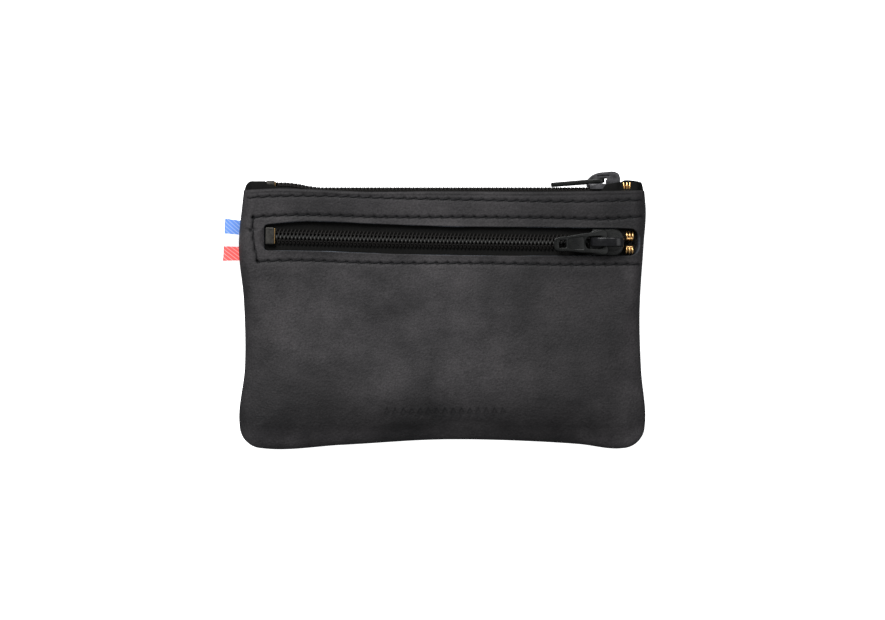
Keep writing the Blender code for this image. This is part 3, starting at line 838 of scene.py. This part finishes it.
def back_surface(points):
    """(depth below the seam plane, darkness) of the back leather's outer face, flat where it lies; the
    darkness is painted shade in the stitch groove.
    """
    inset, radius = edge_distance(points)
    depth = wall_height(inset, radius, SEAM_GAP)
    groove = BACK_STITCHES.distance(points)
    depth -= 0.6 * mound(groove, 0.8)
    # the second value is painted shade in the stitch groove
    return depth, 0.4 * mound(groove, 0.4)


def inside(polygon, points):
    """Which points lie inside a closed polygon."""
    result = np.zeros(len(points), bool)
    for (x1, y1), (x2, y2) in zip(polygon, np.roll(polygon, -1, axis=0)):
        crosses = (y1 > points[:, 1]) != (y2 > points[:, 1])
        if crosses.any():
            at = x1 + (points[:, 1] - y1) * (x2 - x1) / (y2 - y1 if y2 != y1 else 1e-12)
            result ^= crosses & (points[:, 0] < at)
    return result


def hex_grid(step, low, high):
    made = []
    for i, y in enumerate(np.arange(low[1], high[1], step * 0.866)):
        xs = np.arange(low[0] + (i % 2) * step / 2, high[0], step)
        made.append(rows_of(xs, y))
    return np.concatenate(made)


def triangulated(loops, free):
    """(plan points, triangles, new index of each given point) inside the first loop, round the others."""
    edges = []
    base = 0
    for loop in loops:
        edges += [(base + i, base + (i + 1) % len(loop)) for i in range(len(loop))]
        base += len(loop)
    points = np.concatenate([*loops, free])
    made, _, faces, origin, _, _ = delaunay_2d_cdt([Vector(p) for p in points], edges, [], 1, 1e-5)
    plan = np.array([(v.x, v.y) for v in made])
    centres = np.array([plan[list(face)].mean(axis=0) for face in faces])
    keep = inside(loops[0], centres)
    for hole in loops[1:]:
        keep &= ~inside(hole, centres)
    where = {source: index for index, sources in enumerate(origin) for source in sources}
    return plan, [tuple(face) for face, good in zip(faces, keep) if good], where


def end_at_mouth(ring):
    """Moves both ends of a ring of points onto the mouth's edge."""
    for end in (0, -1):
        ring[end, 1] = mouth_y(ring[end, 0])


def panel_plan(step, rows, holes, stamped):
    """(plan points, triangles, indices of the edge where the wall starts) of a leather face."""
    radius = wall_round(OUTLINE[:, 1])
    ring = OUTLINE + INWARD * (radius * (1.0 - cos(radians(WALL_TURN))))[:, None]
    end_at_mouth(ring)
    left, right = ring[0, 0], ring[-1, 0]
    mouth_x = np.linspace(right, left, round((right - left) / 0.5) + 1)[1:-1]
    edge = rows_of(mouth_x, mouth_y(mouth_x))
    border = np.concatenate([ring, edge])
    dense = [strip for row in rows for strip in row.offsets()]
    dense += [edge - (0.0, depth) for depth in MOUTH_STRIPS]
    grid = hex_grid(step, OUTLINE.min(axis=0), OUTLINE.max(axis=0) + (0, 1.0))
    keep = mouth_y(grid[:, 0]) - grid[:, 1] > MOUTH_STRIPS[-1] + step / 2
    for row in rows:
        keep &= row.distance(grid) > STITCH_STRIPS[-1] + step / 2
    for hole in holes:
        dense += [outset(hole, depth) for depth in HOLE_STRIPS]
        keep &= path_distance(hole, grid, closed=True) > HOLE_STRIPS[-1] + step / 3
    if stamped:
        low = (STAMP_X[0] - STAMP_MARGIN[0], STAMP_Y - STAMP_MARGIN[1])
        high = (STAMP_X[1] + STAMP_MARGIN[0], STAMP_Y + STAMP_MARGIN[1])
        dense.append(hex_grid(STAMP_GRID, low, high))
        beside = (grid[:, 0] < low[0]) | (grid[:, 0] > high[0])
        keep &= beside | (np.abs(grid[:, 1] - STAMP_Y) > STAMP_MARGIN[1] + step / 2)
    free = np.concatenate([thinned(np.concatenate(dense), 0.13), grid[keep]])
    free = free[inside(border, free)]
    free = free[path_distance(border, free, closed=True) > 0.1]
    for hole in holes:
        free = free[~inside(hole, free)]
        free = free[path_distance(hole, free, closed=True) > 0.16]
    plan, faces, where = triangulated([border, *holes], free)
    return plan, faces, [where[i] for i in range(len(ring))]


def outset(loop, distance):
    """A closed anticlockwise outline moved outwards."""
    return loop - left_of(np.roll(loop, -1, axis=0) - np.roll(loop, 1, axis=0)) * distance


def thinned(points, step):
    """Leaves out points nearer than about a step to one already taken."""
    cells = np.round(points / step).astype(int)
    _, first = np.unique(cells, axis=0, return_index=True)
    return points[np.sort(first)]


def wall_rings(side):
    """Rings of points from just outside the flat part, down the wall and round to the flange."""
    gap = seam_gap(OUTLINE)
    tall = TOP_Z - SEAM_Z - BEND - gap
    rings = []
    for turn in np.radians(np.linspace(WALL_TURN, 0.0, 9)[1:]):
        rings.append((wall_round(OUTLINE[:, 1]) * (1.0 - cos(turn)), gap + BEND + tall * sin(turn)))
    for turn in np.radians(np.linspace(0.0, 90.0, 6)[1:]):
        rings.append((np.full(len(OUTLINE), BEND * (1.0 - cos(turn))), gap + BEND * (1.0 - sin(turn))))
    flange = FLANGE + (MOUTH_FLANGE - FLANGE) * smoothstep((OUTLINE[:, 1] - 36.0) / 3.0)
    rings += [(BEND + (flange - BEND) * share, gap) for share in (0.5, 1.0)]
    made = []
    for inset, height in rings:
        at = OUTLINE + INWARD * inset[:, None]
        end_at_mouth(at)
        made.append(np.column_stack([at, SEAM_Z + side * height]))
    return made


def leather_panel(name, side, surface, panel, looks):
    """One leather tray: the plan lifted to its surface, its wall, bend and flange, given thickness."""
    plan, faces, edge = panel
    height, dark = surface(plan)
    shape = Shape()
    shape.add(np.column_stack([plan, SEAM_Z + side * height]), faces)
    around = [edge]
    for ring in wall_rings(side):
        base = len(shape.points)
        shape.add(ring, [])
        around.append(range(base, base + len(ring)))
    for near, far in zip(around, around[1:]):
        shape.faces += [(near[i], far[i], far[i + 1], near[i + 1]) for i in range(len(near) - 1)]
    if side < 0:
        shape.faces = [tuple(reversed(face)) for face in shape.faces]
    mesh = bpy.data.meshes.new(name)
    mesh.from_pydata([Vector(p) * MM for p in shape.points], [], shape.faces)
    mesh.shade_smooth()
    # painted shade at the stitches, and darker stamped lozenges on the front, for the leather material
    paint(mesh, "dark", dark)
    for look in looks:
        mesh.materials.append(look)
    obj = new_object(name, mesh)
    solid = thicken(obj, "leather thickness", LEATHER, -1.0)
    solid.material_offset = 1
    solid.material_offset_rim = 2
    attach(obj, "purse")
    return obj


def front_panel(looks):
    panel = panel_plan(FRONT_GRID, FRONT_ROWS, [WINDOW], stamped=True)
    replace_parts(leather_panel("front_leather", 1, front_surface, panel, looks), "front_panel")


def back_panel(looks):
    panel = panel_plan(BACK_GRID, [BACK_STITCHES], [], stamped=False)
    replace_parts(leather_panel("back_leather", -1, back_surface, panel, looks), "back_panel")


# --- Stitches


def stitches(name, rows, side, surface, look, node):
    """Each stitch rises from one slanted hole and goes down at the next."""
    shape = Shape()
    half_slit, sunk, rise = 0.34, 0.22, 0.34
    slant = np.array((cos(SLIT_TURN), sin(SLIT_TURN))) * half_slit
    share = np.linspace(0.0, 1.0, 9)
    arch = np.sin(share * pi) ** 0.5
    lift = rise * arch - sunk
    for row in rows:
        for start, end in zip(row.holes, row.holes[1:]):
            here, there = start + slant, end - slant
            plan = here + (there - here) * share[:, None]
            level, _ = surface(plan)
            path = np.column_stack([plan, SEAM_Z + side * (level + lift)])
            shape.tube(path, THREAD * (0.55 + 0.45 * arch), 7)
    piece(name, shape, look, node, sharp=60)


def seam_thread(look):
    """The seam's running stitches on the front flange, inside the purse."""
    shape = Shape()
    inset, top, stride = 3.5, 35.5, 4
    line = (OUTLINE + INWARD * inset)[OUTLINE[:, 1] < top]
    share = np.linspace(0.0, 1.0, 5)
    lift = SEAM_Z + SEAM_GAP + LEATHER + 0.05 + 0.2 * np.sin(share * pi)
    for i in range(0, len(line) - stride, stride):
        plan = line[i] + (line[i + stride] - line[i]) * (0.06 + 0.88 * share[:, None])
        shape.tube(np.column_stack([plan, lift]), THREAD, 6)
    piece("seam_thread", shape, look, "side_seam_thread", sharp=60)


# --- Zips


def coil(name, line, sign, chain, look, node):
    """A nylon wire wound round a core cord, in loops whose heads lock with the other side's."""
    start, end = chain
    loop = smooth_path(COIL_LOOP, 0.28)[:-1]
    half_turn = 0.0 if sign > 0 else COIL_PITCH / 2
    turns = int((end - start - half_turn) / COIL_PITCH)
    wire = []
    for turn in range(turns):
        for v, w, share in loop:
            wire.append((start + half_turn + (turn + share) * COIL_PITCH, sign * v, w))
    wire = np.array(wire)
    head = np.clip(1.0 - np.abs(np.abs(wire[:, 1]) - 0.25) / 0.5, 0.0, 1.0) * (wire[:, 2] > 0.7)
    shape = Shape()
    shape.tube(line.place(wire), COIL_WIRE * (1.0 + 0.22 * head), WIRE_SIDES)
    u = np.arange(wire[0, 0], wire[-1, 0], 1.0)
    v, w, radius = COIL_CORE
    shape.tube(line.place(rows_of(u, sign * v, w)), radius, WIRE_SIDES)
    obj = piece(name, shape, look, node, sharp=80)
    # marks the loops' heads, which the nylon material gives gloss and a painted highlight
    paint(obj.data, "head", np.repeat(head, WIRE_SIDES))


def front_tape(name, sign, look, node):
    """A flat woven tape with a bead along its inner edge and faint ripples."""
    rings = []
    for u in np.arange(*FRONT_TAPE, 0.6):
        wide = 9.1 if u < 56.2 else 4.3
        wide = wide - 2.6 * smoothstep((u - 59.0) / 2.6)
        v = np.concatenate([[0.55, 0.62, 0.8, 1.0], np.linspace(2.4, wide, 14)])
        ripple = 0.05 * np.sin(u * 0.55 + sign) * smoothstep((v - 2.4) / 2.0)
        top = -0.02 + 0.07 * mound(v - 0.8, 0.15) + ripple
        upper = rows_of(u, sign * v, top)
        rings.append(FRONT_ZIP.place(np.concatenate([upper, (upper - (0.0, 0.0, TAPE_THICK))[::-1]])))
    shape = Shape()
    shape.rings(rings)
    piece(name, shape, look, node, sharp=50)


def lip_height(u):
    """How far the tape's folded ends stand out of the mouth; the last bit is a rounded corner."""
    left = right = 0.0
    for rise, start, length in LEFT_LIP_STEPS:
        left += rise * smoothstep((start - u) / length)
    for rise, start, length in RIGHT_LIP_STEPS:
        right += rise * smoothstep((u - start) / length)
    return left * quarter_round((-61.8 - u) / 2.05) + right * quarter_round((u - 63.7) / 1.05)


def main_tape_section(u, sign):
    """The tape's outer face across one side: flat by the coil, over the lip, down inside the wall."""
    lip = lip_height(u)
    base = float(main_lift(np.array(u))) + 0.4 * smoothstep((u - 58.0) / 2.0)
    if abs(u) > 56.0:
        base = min(base, max(lip, 0.0))
    # the leg hangs at v = wall, inside the leather, and the lip folds at v = fold, beside the slider
    lip_width = 0.42
    from_end = min(u + 63.5, 64.5 - u)
    room = wall_height(np.array(max(from_end - LEATHER, 0.05)), SIDE_ROUND - LEATHER, SEAM_GAP)
    wall = min(float(room) - 0.9, 4.6)
    clear_of_slider = 4.35 - 1.6 * smoothstep((u - 55.2) / 2.4)
    closing = smoothstep((-61.9 - u) / 1.7) + smoothstep((u - 62.4) / 1.9)
    fold = min(clear_of_slider, max(wall - lip_width, 0.4)) * (1.0 - 0.85 * closing)
    wall = max(wall, fold + lip_width)
    leg = 4.4 if abs(u) < 54.5 else 0.8
    first = min(0.6, fold * 0.3)
    outer = [
        (first, base), (max(fold - 0.25, first + 0.05), base), (fold - 0.15, max(base, lip * 0.4)),
        (fold, max(base, lip * 0.92)), (fold + 0.16, max(base, lip)), (fold + 0.34, lip * 0.92),
        (fold + 0.40, lip * 0.4 - 0.05), (wall, -0.45), (wall, -leg),
    ]
    return np.array([(u, sign * v, w) for v, w in outer])


def main_tape(name, sign, look, node):
    """The tape bent over inside the mouth; at both ends its outer part folds up into a stiff lip."""
    fine, coarse = 0.35, 1.2
    left_end = np.arange(MAIN_TAPE[0], TAPE_LIPS[0], fine)
    right_end = np.arange(TAPE_LIPS[1], MAIN_TAPE[1], fine)
    rings = []
    for u in np.concatenate([left_end, np.arange(*TAPE_LIPS, coarse), right_end]):
        outer = main_tape_section(u, sign)
        steps = np.gradient(outer[:, 1:], axis=0)
        normal = np.column_stack([-steps[:, 1], steps[:, 0]]) * -sign
        normal /= np.linalg.norm(normal, axis=1, keepdims=True) + 1e-9
        under = outer.copy()
        under[:, 1:] += normal * BENT_TAPE_THICK
        rings.append(MAIN_ZIP.place(np.concatenate([outer, under[::-1]]), soft=False))
    shape = Shape()
    shape.rings(rings)
    piece(name, shape, look, node, sharp=50)


def top_stop(name, line, claw, sign, look, node, on_lip=False):
    """A brass claw: three prongs bent over the tape from one spine, or over the folded lip."""
    u, low, high = claw
    shape = Shape()
    share = np.linspace(0.0, 1.0, 11)
    arch = np.sin(share * pi) ** 0.6
    across = low + 0.3 + (high - low - 0.55) * share
    for offset in (0.45, 1.3, 2.15):
        spread = (offset - 1.3) * 0.16
        path = rows_of(u + offset + spread * share, sign * across, 0.25 + 1.2 * arch)
        shape.tube(path, 0.40 * (1.0 - 0.45 * share**3))
        if on_lip:
            outside = high + 0.22 + 0.12 * np.sin(share * pi)
            along = u + offset + 2.2 * spread * (share - 0.3)
            prong = rows_of(along, sign * outside, 0.5 + 2.5 * share)
            shape.tube(prong, 0.38 * (1.0 - 0.5 * np.abs(share - 0.45) ** 1.5 * 2.0))
    shape.tube(rows_of(np.linspace(u + 0.35, u + 2.25, 5), sign * (low + 0.62), 1.18), 0.44)
    piece(name, carried([shape], line), look, node, sharp=70)


def bottom_stop(name, line, u, rise, looks, node):
    """A folded metal block over both coils, with its bare brass end showing."""
    block = plate([rounded_box(u - 0.1, u + 2.75, -2.75, 2.75, 0.45)], rise + 0.2, rise + 1.95, 0.3)
    shape = carried([block], line)
    for v in (-2.3, 2.3):
        ridge = rows_of(np.linspace(u + 0.2, u + 2.4, 6), v, rise + 1.85)
        shape.tube(line.place(ridge, soft=False), 0.22, 6)
    piece(name, shape, looks["stop"], node, sharp=50)
    end = plate([rounded_box(u + 2.7, u + 3.02, -2.5, 2.5, 0.14)], rise + 0.25, rise + 1.7, 0.12)
    piece(name + "_brass_end", carried([end], line), looks["brass end"], sharp=50)


# --- Sliders and pullers


def mirrored(upper, spacing=0.5):
    """A closed outline from its upper half, smoothed and mirrored."""
    half = smooth_path(upper, spacing)
    low = half[::-1] * (1.0, -1.0)
    return [tuple(p) for p in np.concatenate([half, low])]


def slider_body(line, hinge_u):
    """Two plates round the coils, joined by a neck, with flanges down both sides."""
    head = [(5.9, 0.6), (5.6, 2.2), (4.6, 3.6), (3.0, 4.15)]
    head += [(0.0, 4.1), (-3.2, 3.95), (-4.6, 3.3), (-5.0, 1.2)]
    crown = [(5.4, 0.5), (4.9, 1.8), (3.6, 2.7), (1.0, 2.9), (-2.6, 2.6), (-4.0, 1.8), (-4.4, 0.6)]
    pin_slot = rounded_box(-2.9, -1.5, -0.5, 0.5, 0.2)
    parts = [
        plate([mirrored(head), pin_slot], 1.85, 2.62, 0.3),
        plate([mirrored(crown), pin_slot], 2.1, 2.68, 0.2),
        plate([mirrored(head)], -1.55, -0.75, 0.3),
        plate([rounded_box(2.6, 5.5, -0.25, 0.25, 0.2, 2)], -1.2, 2.1, 0.05),
    ]
    for low, high in ((-4.12, -3.32), (3.32, 4.12)):
        parts.append(plate([rounded_box(-4.2, 4.2, low, high, 0.35, 3)], 0.8, 2.2, 0.12))
    return carried(parts, line, hinge_u)


def slider_bridge(line, hinge_u):
    """The arch the puller's bar runs under: a spine, a web at each side, and cheeks at its feet."""
    foot = 2.6
    outer = [
        (5.75, foot), (5.7, 4.9), (5.2, 6.05), (4.2, 6.55), (1.0, 6.55), (-1.6, 6.2), (-3.5, 5.35),
        (-4.6, 4.2), (-4.85, foot),
    ]
    inner = [
        (-3.1, foot), (-2.95, 4.6), (-2.2, 5.25), (-0.8, 5.35), (0.8, 5.4), (2.2, 5.35), (2.95, 4.9),
        (3.3, foot),
    ]
    spine = [tuple(p) for p in np.concatenate([smooth_path(outer, 0.4), smooth_path(inner, 0.4)])]
    web = [(-3.2, foot), (-3.1, 4.7), (-2.2, 5.45), (2.3, 5.5), (3.1, 4.9), (3.4, foot)]
    web += [(2.1, foot), (2.0, 4.1), (1.2, 4.75), (-0.6, 4.7), (-1.4, 4.0), (-1.5, foot)]
    tail_cheek = [(-4.6, foot), (-1.7, foot), (-1.45, 4.4), (-1.7, 5.7), (-3.3, 5.2), (-4.4, 4.2)]
    head_cheek = [(1.3, 4.1), (1.9, 4.5), (2.6, 5.4), (3.5, 5.5), (3.5, foot), (1.3, foot)]
    parts = [on_edge(plate([spine[::-1]], -1.4, 1.4, 0.3))]
    for low, high in ((-1.36, -1.02), (1.02, 1.36)):
        parts += [on_edge(plate([cheek], low, high, 0.1)) for cheek in (tail_cheek, head_cheek)]
    for low, high in ((-0.95, -0.5), (0.5, 0.95)):
        parts.append(on_edge(plate([web[::-1]], low, high, 0.08)))
    return carried(parts, line, hinge_u)


def lock_pawl(line, hinge_u):
    """The bent lock strip: an arm under the bridge, and a pin down to the coils."""
    pin = [(-2.5, 1.25), (-2.15, 0.95), (-1.9, 1.25)]
    arm = [(-1.9, 4.42), (1.3, 4.42), (1.3, 4.7), (-2.2, 4.7), (-2.5, 4.42)]
    return carried([on_edge(plate([pin + arm], -0.28, 0.28, 0.05))], line, hinge_u)


def carried(parts, line, u=0.0):
    """Parts drawn about u = 0, set on their zip at u."""
    made = Shape()
    for part in parts:
        made.add_placed(part, line, u)
    return made


def puller(line, hinge_u, droop, yaw):
    """A flat grip with a hole at its tip, a sunk pad, and a window round the bridge."""
    edge = [(0.55, 1.4), (0.5, 3.2), (0.0, 3.85), (-1.0, 4.0), (-2.5, 3.75), (-4.4, 3.35), (-8.0, 3.0)]
    edge += [(-12.0, 2.45), (-15.3, 2.15), (-16.2, 1.75), (-16.5, 0.9)]
    window = rounded_box(-6.5, -0.62, -1.95, 1.95, 1.5)
    hole = rounded_box(-14.9, -12.7, -1.2, 1.2, 0.35)
    pad = [(-7.3, 1.95), (-11.6, 1.65), (-11.9, 1.3), (-11.9, -1.3), (-11.6, -1.65), (-7.3, -1.95)]
    pad += [(-7.0, -1.5), (-7.0, 1.5)]
    ridge = [(-10.9, 0.9), (-8.3, -0.95), (-8.1, -0.75), (-10.7, 1.1)]
    parts = [
        plate([mirrored(edge, 0.45), window, hole, pad], -0.66, 0.66, 0.26),
        plate([rounded_box(-12.1, -6.8, -1.9, 1.9, 0.3)], -0.45, 0.45, 0.05),
        plate([ridge], 0.38, 0.58, 0.05),
    ]
    turn = Matrix.Rotation(-radians(droop), 3, "Y") @ Matrix.Rotation(radians(yaw), 3, "Z")
    for part in parts:
        part.points = [turn @ Vector(p) + Vector((0.0, 0.0, HINGE_HEIGHT)) for p in part.points]
    return carried(parts, line, hinge_u)


def slider_set(zip_name, line, hinge_u, droop, yaw, looks):
    body_look, bridge_look = looks[zip_name + " body"], looks[zip_name + " bridge"]
    for name, shape, look, slot, node, body, sharp in (
        ("slider", slider_body(line, hinge_u), body_look, "gunmetal", "slider_body", "slider", 45),
        ("bridge", slider_bridge(line, hinge_u), bridge_look, "gunmetal", "slider_bridge", "slider", 60),
        ("pawl", lock_pawl(line, hinge_u), looks["stop"], "dark_brass", "lock_pawl", "lock", 45),
        ("pull", puller(line, hinge_u, droop, yaw), looks["metal"], "gunmetal", "puller", "puller", 45),
    ):
        piece(f"{zip_name}_{name}", shape, look, f"{zip_name}_{node}", f"{zip_name}_{body}", sharp)


# --- Ribbon and lining


def ribbon(look):
    """A folded twill ribbon: a soft loop outside the seam, its two ends caught between the panels."""
    profile = [(2.6, 0.13), (0.4, 0.13), (-0.8, 0.30), (-3.0, 0.62), (-4.2, 0.55), (-4.68, 0.0)]
    upper = smooth_path(profile, 0.25)
    loop = np.concatenate([upper, upper[-2::-1] * (1.0, -1.0)])
    lengths = run_along(loop)
    across = np.linspace(-RIBBON_WIDTH / 2, RIBBON_WIDTH / 2, 27)
    turn = Matrix.Rotation(RIBBON_TILT, 3, "Z")
    hinge = Vector(RIBBON_HINGE)
    bm = bmesh.new()
    layer = bm.loops.layers.uv.new("cloth")
    grid = []
    for (x, z), s in zip(loop, lengths):
        outside = max(-x, 0.0)
        row = []
        for y in across:
            wave = 0.12 * sin(y * 0.45 + s * 0.3) * min(outside, 3.0) / 3.0
            at = turn @ Vector((x + 0.05 * sin(y * 1.1), y * (1.0 + 0.012 * outside), z + wave))
            row.append(bm.verts.new((at + hinge) * MM))
        grid.append(row)
    for i in range(len(loop) - 1):
        for k in range(len(across) - 1):
            corners = ((i, k), (i, k + 1), (i + 1, k + 1), (i + 1, k))
            face = bm.faces.new([grid[a][b] for a, b in corners])
            for corner, (a, b) in zip(face.loops, corners):
                along = min(lengths[a], lengths[-1] - lengths[a])
                corner[layer].uv = (along, across[b] + RIBBON_WIDTH / 2)
    bm.normal_update()
    bmesh.ops.solidify(bm, geom=bm.faces, thickness=RIBBON_THICK * MM)
    bmesh.ops.recalc_face_normals(bm, faces=bm.faces)
    mesh = bpy.data.meshes.new("ribbon_loop")
    bm.to_mesh(mesh)
    bm.free()
    mesh.shade_smooth()
    mesh.set_sharp_from_angle(angle=radians(60))
    mesh.materials.append(look)
    obj = new_object("ribbon_loop", mesh)
    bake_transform(obj)
    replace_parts(obj, "ribbon_tab", "ribbon_ends")


def divider(look):
    """The pocket's lining: caught in the seam, loosely waved, led up to the front's zip edge."""
    inset, seam_top, top = 2.4, 37.8, 38.4
    ring = OUTLINE + INWARD * inset
    ring = ring[ring[:, 1] < seam_top][::4]
    top_edge = rows_of(np.linspace(ring[-1][0] - 4.0, ring[0][0] + 4.0, 60), top)
    border = np.concatenate([ring, top_edge])
    grid = hex_grid(LINING_GRID, border.min(axis=0), border.max(axis=0))
    grid = grid[inside(border, grid)]
    grid = grid[path_distance(border, grid, closed=True) > 1.0]
    plan, faces, _ = triangulated([border], grid)
    x, y = plan[:, 0], plan[:, 1]
    inner = smoothstep(path_distance(ring, plan) / 12.0) * smoothstep((24.0 - y) / 10.0)
    wave = 0.35 * np.sin(x / 8.0) * np.cos(y / 10.0) * inner
    rise = 4.0 * smoothstep((y - 31.2) / 6.0) * smoothstep((57.5 - np.abs(x)) / 3.0)
    shape = Shape()
    shape.add(rows_of(x, y, SEAM_Z + wave + rise), faces)
    obj = piece("pocket_lining", shape, look, "pocket_divider")
    thicken(obj, "cloth thickness", 0.3, 0.0)


# --- The set


def backdrop():
    """A plain white surface seen by the camera only, as in a cut-out product picture."""
    bpy.ops.mesh.primitive_plane_add(size=6.0, location=(0, 0, -0.0002))
    floor = bpy.context.object
    floor.name = "backdrop"
    paper = bpy.data.materials.new("white paper")
    paper.use_nodes = True
    shader = paper.node_tree.nodes["Principled BSDF"]
    shader.inputs["Base Color"].default_value = (0.9, 0.9, 0.9, 1.0)
    shader.inputs["Emission Color"].default_value = (1.0, 1.0, 1.0, 1.0)
    shader.inputs["Emission Strength"].default_value = 1.0
    paper.cycles.emission_sampling = "NONE"
    floor.data.materials.append(paper)
    floor.visible_diffuse = False
    floor.visible_glossy = False


def soft_light(name, location, size, power):
    """A rectangular lamp, in metres and watts, aimed at the purse."""
    lamp = bpy.data.lights.new(name, "AREA")
    lamp.shape = "RECTANGLE"
    lamp.size, lamp.size_y = size
    lamp.energy = power
    obj = new_object(name, lamp)
    obj.location = location
    obj.rotation_euler = (-Vector(location)).to_track_quat("-Z", "Y").to_euler()


def studio():
    world = bpy.data.worlds.new("studio")
    world.use_nodes = True
    sky = world.node_tree.nodes["Background"].inputs
    sky["Color"].default_value = (0.93, 0.96, 1.0, 1.0)
    sky["Strength"].default_value = 0.31
    bpy.context.scene.world = world
    bpy.context.scene.view_settings.view_transform = "Standard"
    soft_light("key", (-0.45, 0.85, 1.05), (0.9, 0.6), 33.5)
    soft_light("fill", (0.5, 0.1, 0.9), (0.6, 0.6), 2.2)


def camera():
    shot = bpy.data.cameras.new("camera")
    shot.lens = 85.0
    shot.sensor_width = 36.0
    obj = new_object("camera", shot)
    obj.location = (0.0, 0.0032, 0.6797)
    bpy.context.scene.camera = obj


def metal_looks():
    """The metal materials by use; the main slider and its bridge are the worn ones."""
    enamel = metal_look("black enamel", (0.0035, 0.0038, 0.0036), (0.0085, 0.009, 0.0082), 0.28, 0.2, 0.24)
    gloss_dark, gloss_light = (0.004, 0.004, 0.0045), (0.010, 0.010, 0.011)
    gloss = metal_look("polished black enamel", gloss_dark, gloss_light, 0.20, 0.2, 0.3)
    stop = metal_look("oxidised stop metal", (0.030, 0.029, 0.027), (0.058, 0.056, 0.051), 0.42)
    dull = metal_look("dull brass", (0.16, 0.10, 0.04), (0.30, 0.20, 0.09), 0.4)
    brass = metal_look("raw brass", (0.52, 0.29, 0.09), (0.85, 0.56, 0.26), 0.28)
    pale_patches = metal_look("worn black enamel", (0.016, 0.016, 0.017), (0.058, 0.057, 0.061), 0.3, 0.2, 0.3)
    return {
        "metal": enamel, "front body": enamel, "front bridge": gloss, "main body": pale_patches,
        "main bridge": pale_patches, "stop": stop, "brass end": dull, "brass": brass,
    }


def build():
    leather = [leather_look(), suede_look(), cut_edge_look()]
    tape = woven_look("zip tape weave", (0.003, 0.003, 0.003), (0.010, 0.0095, 0.0085), 0.42)
    cloth = woven_look("lining weave", (0.012, 0.012, 0.013), (0.03, 0.03, 0.032), 0.5)
    nylon = nylon_look()
    cotton = thread_look()
    looks = metal_looks()
    brass = looks["brass"]
    front_panel(leather)
    back_panel(leather)
    divider(cloth)
    stitches("main_stitches", FRONT_ROWS[:1], 1, front_surface, cotton, "main_zip_stitch_front")
    stitches("pocket_stitches", FRONT_ROWS[1:4], 1, front_surface, cotton, "pocket_stitch")
    stitches("back_stitches", [BACK_STITCHES], -1, back_surface, cotton, "main_zip_stitch_back")
    seam_thread(cotton)
    for side, sign in (("upper", 1), ("lower", -1)):
        front_tape("front_tape_" + side, sign, tape, "front_zip_tape_" + side)
        coil("front_coil_" + side, FRONT_ZIP, sign, FRONT_CHAIN, nylon, "front_zip_coil_" + side)
        top_stop("front_claw_" + side, FRONT_ZIP, FRONT_CLAW, sign, brass, "front_top_stop_" + side)
    for side, sign in (("back", 1), ("front", -1)):
        main_tape("main_tape_" + side, sign, tape, "main_zip_tape_" + side)
        coil("main_coil_" + side, MAIN_ZIP, sign, MAIN_CHAIN, nylon, "main_zip_coil_" + side)
        claw_name = "main_claw_" + side
        top_stop(claw_name, MAIN_ZIP, MAIN_CLAW, sign, brass, "main_top_stop_" + side, on_lip=True)
    bottom_stop("front_end_stop", FRONT_ZIP, FRONT_STOP_U, 0.0, looks, "front_bottom_stop")
    bottom_stop("main_end_stop", MAIN_ZIP, MAIN_STOP_U, STOP_RISE, looks, "main_bottom_stop")
    slider_set("front", FRONT_ZIP, FRONT_HINGE_U, 0.0, FRONT_YAW, looks)
    slider_set("main", MAIN_ZIP, MAIN_HINGE_U, MAIN_DROOP, 0.0, looks)
    ribbon(ribbon_look())


build()
backdrop()
studio()
camera()
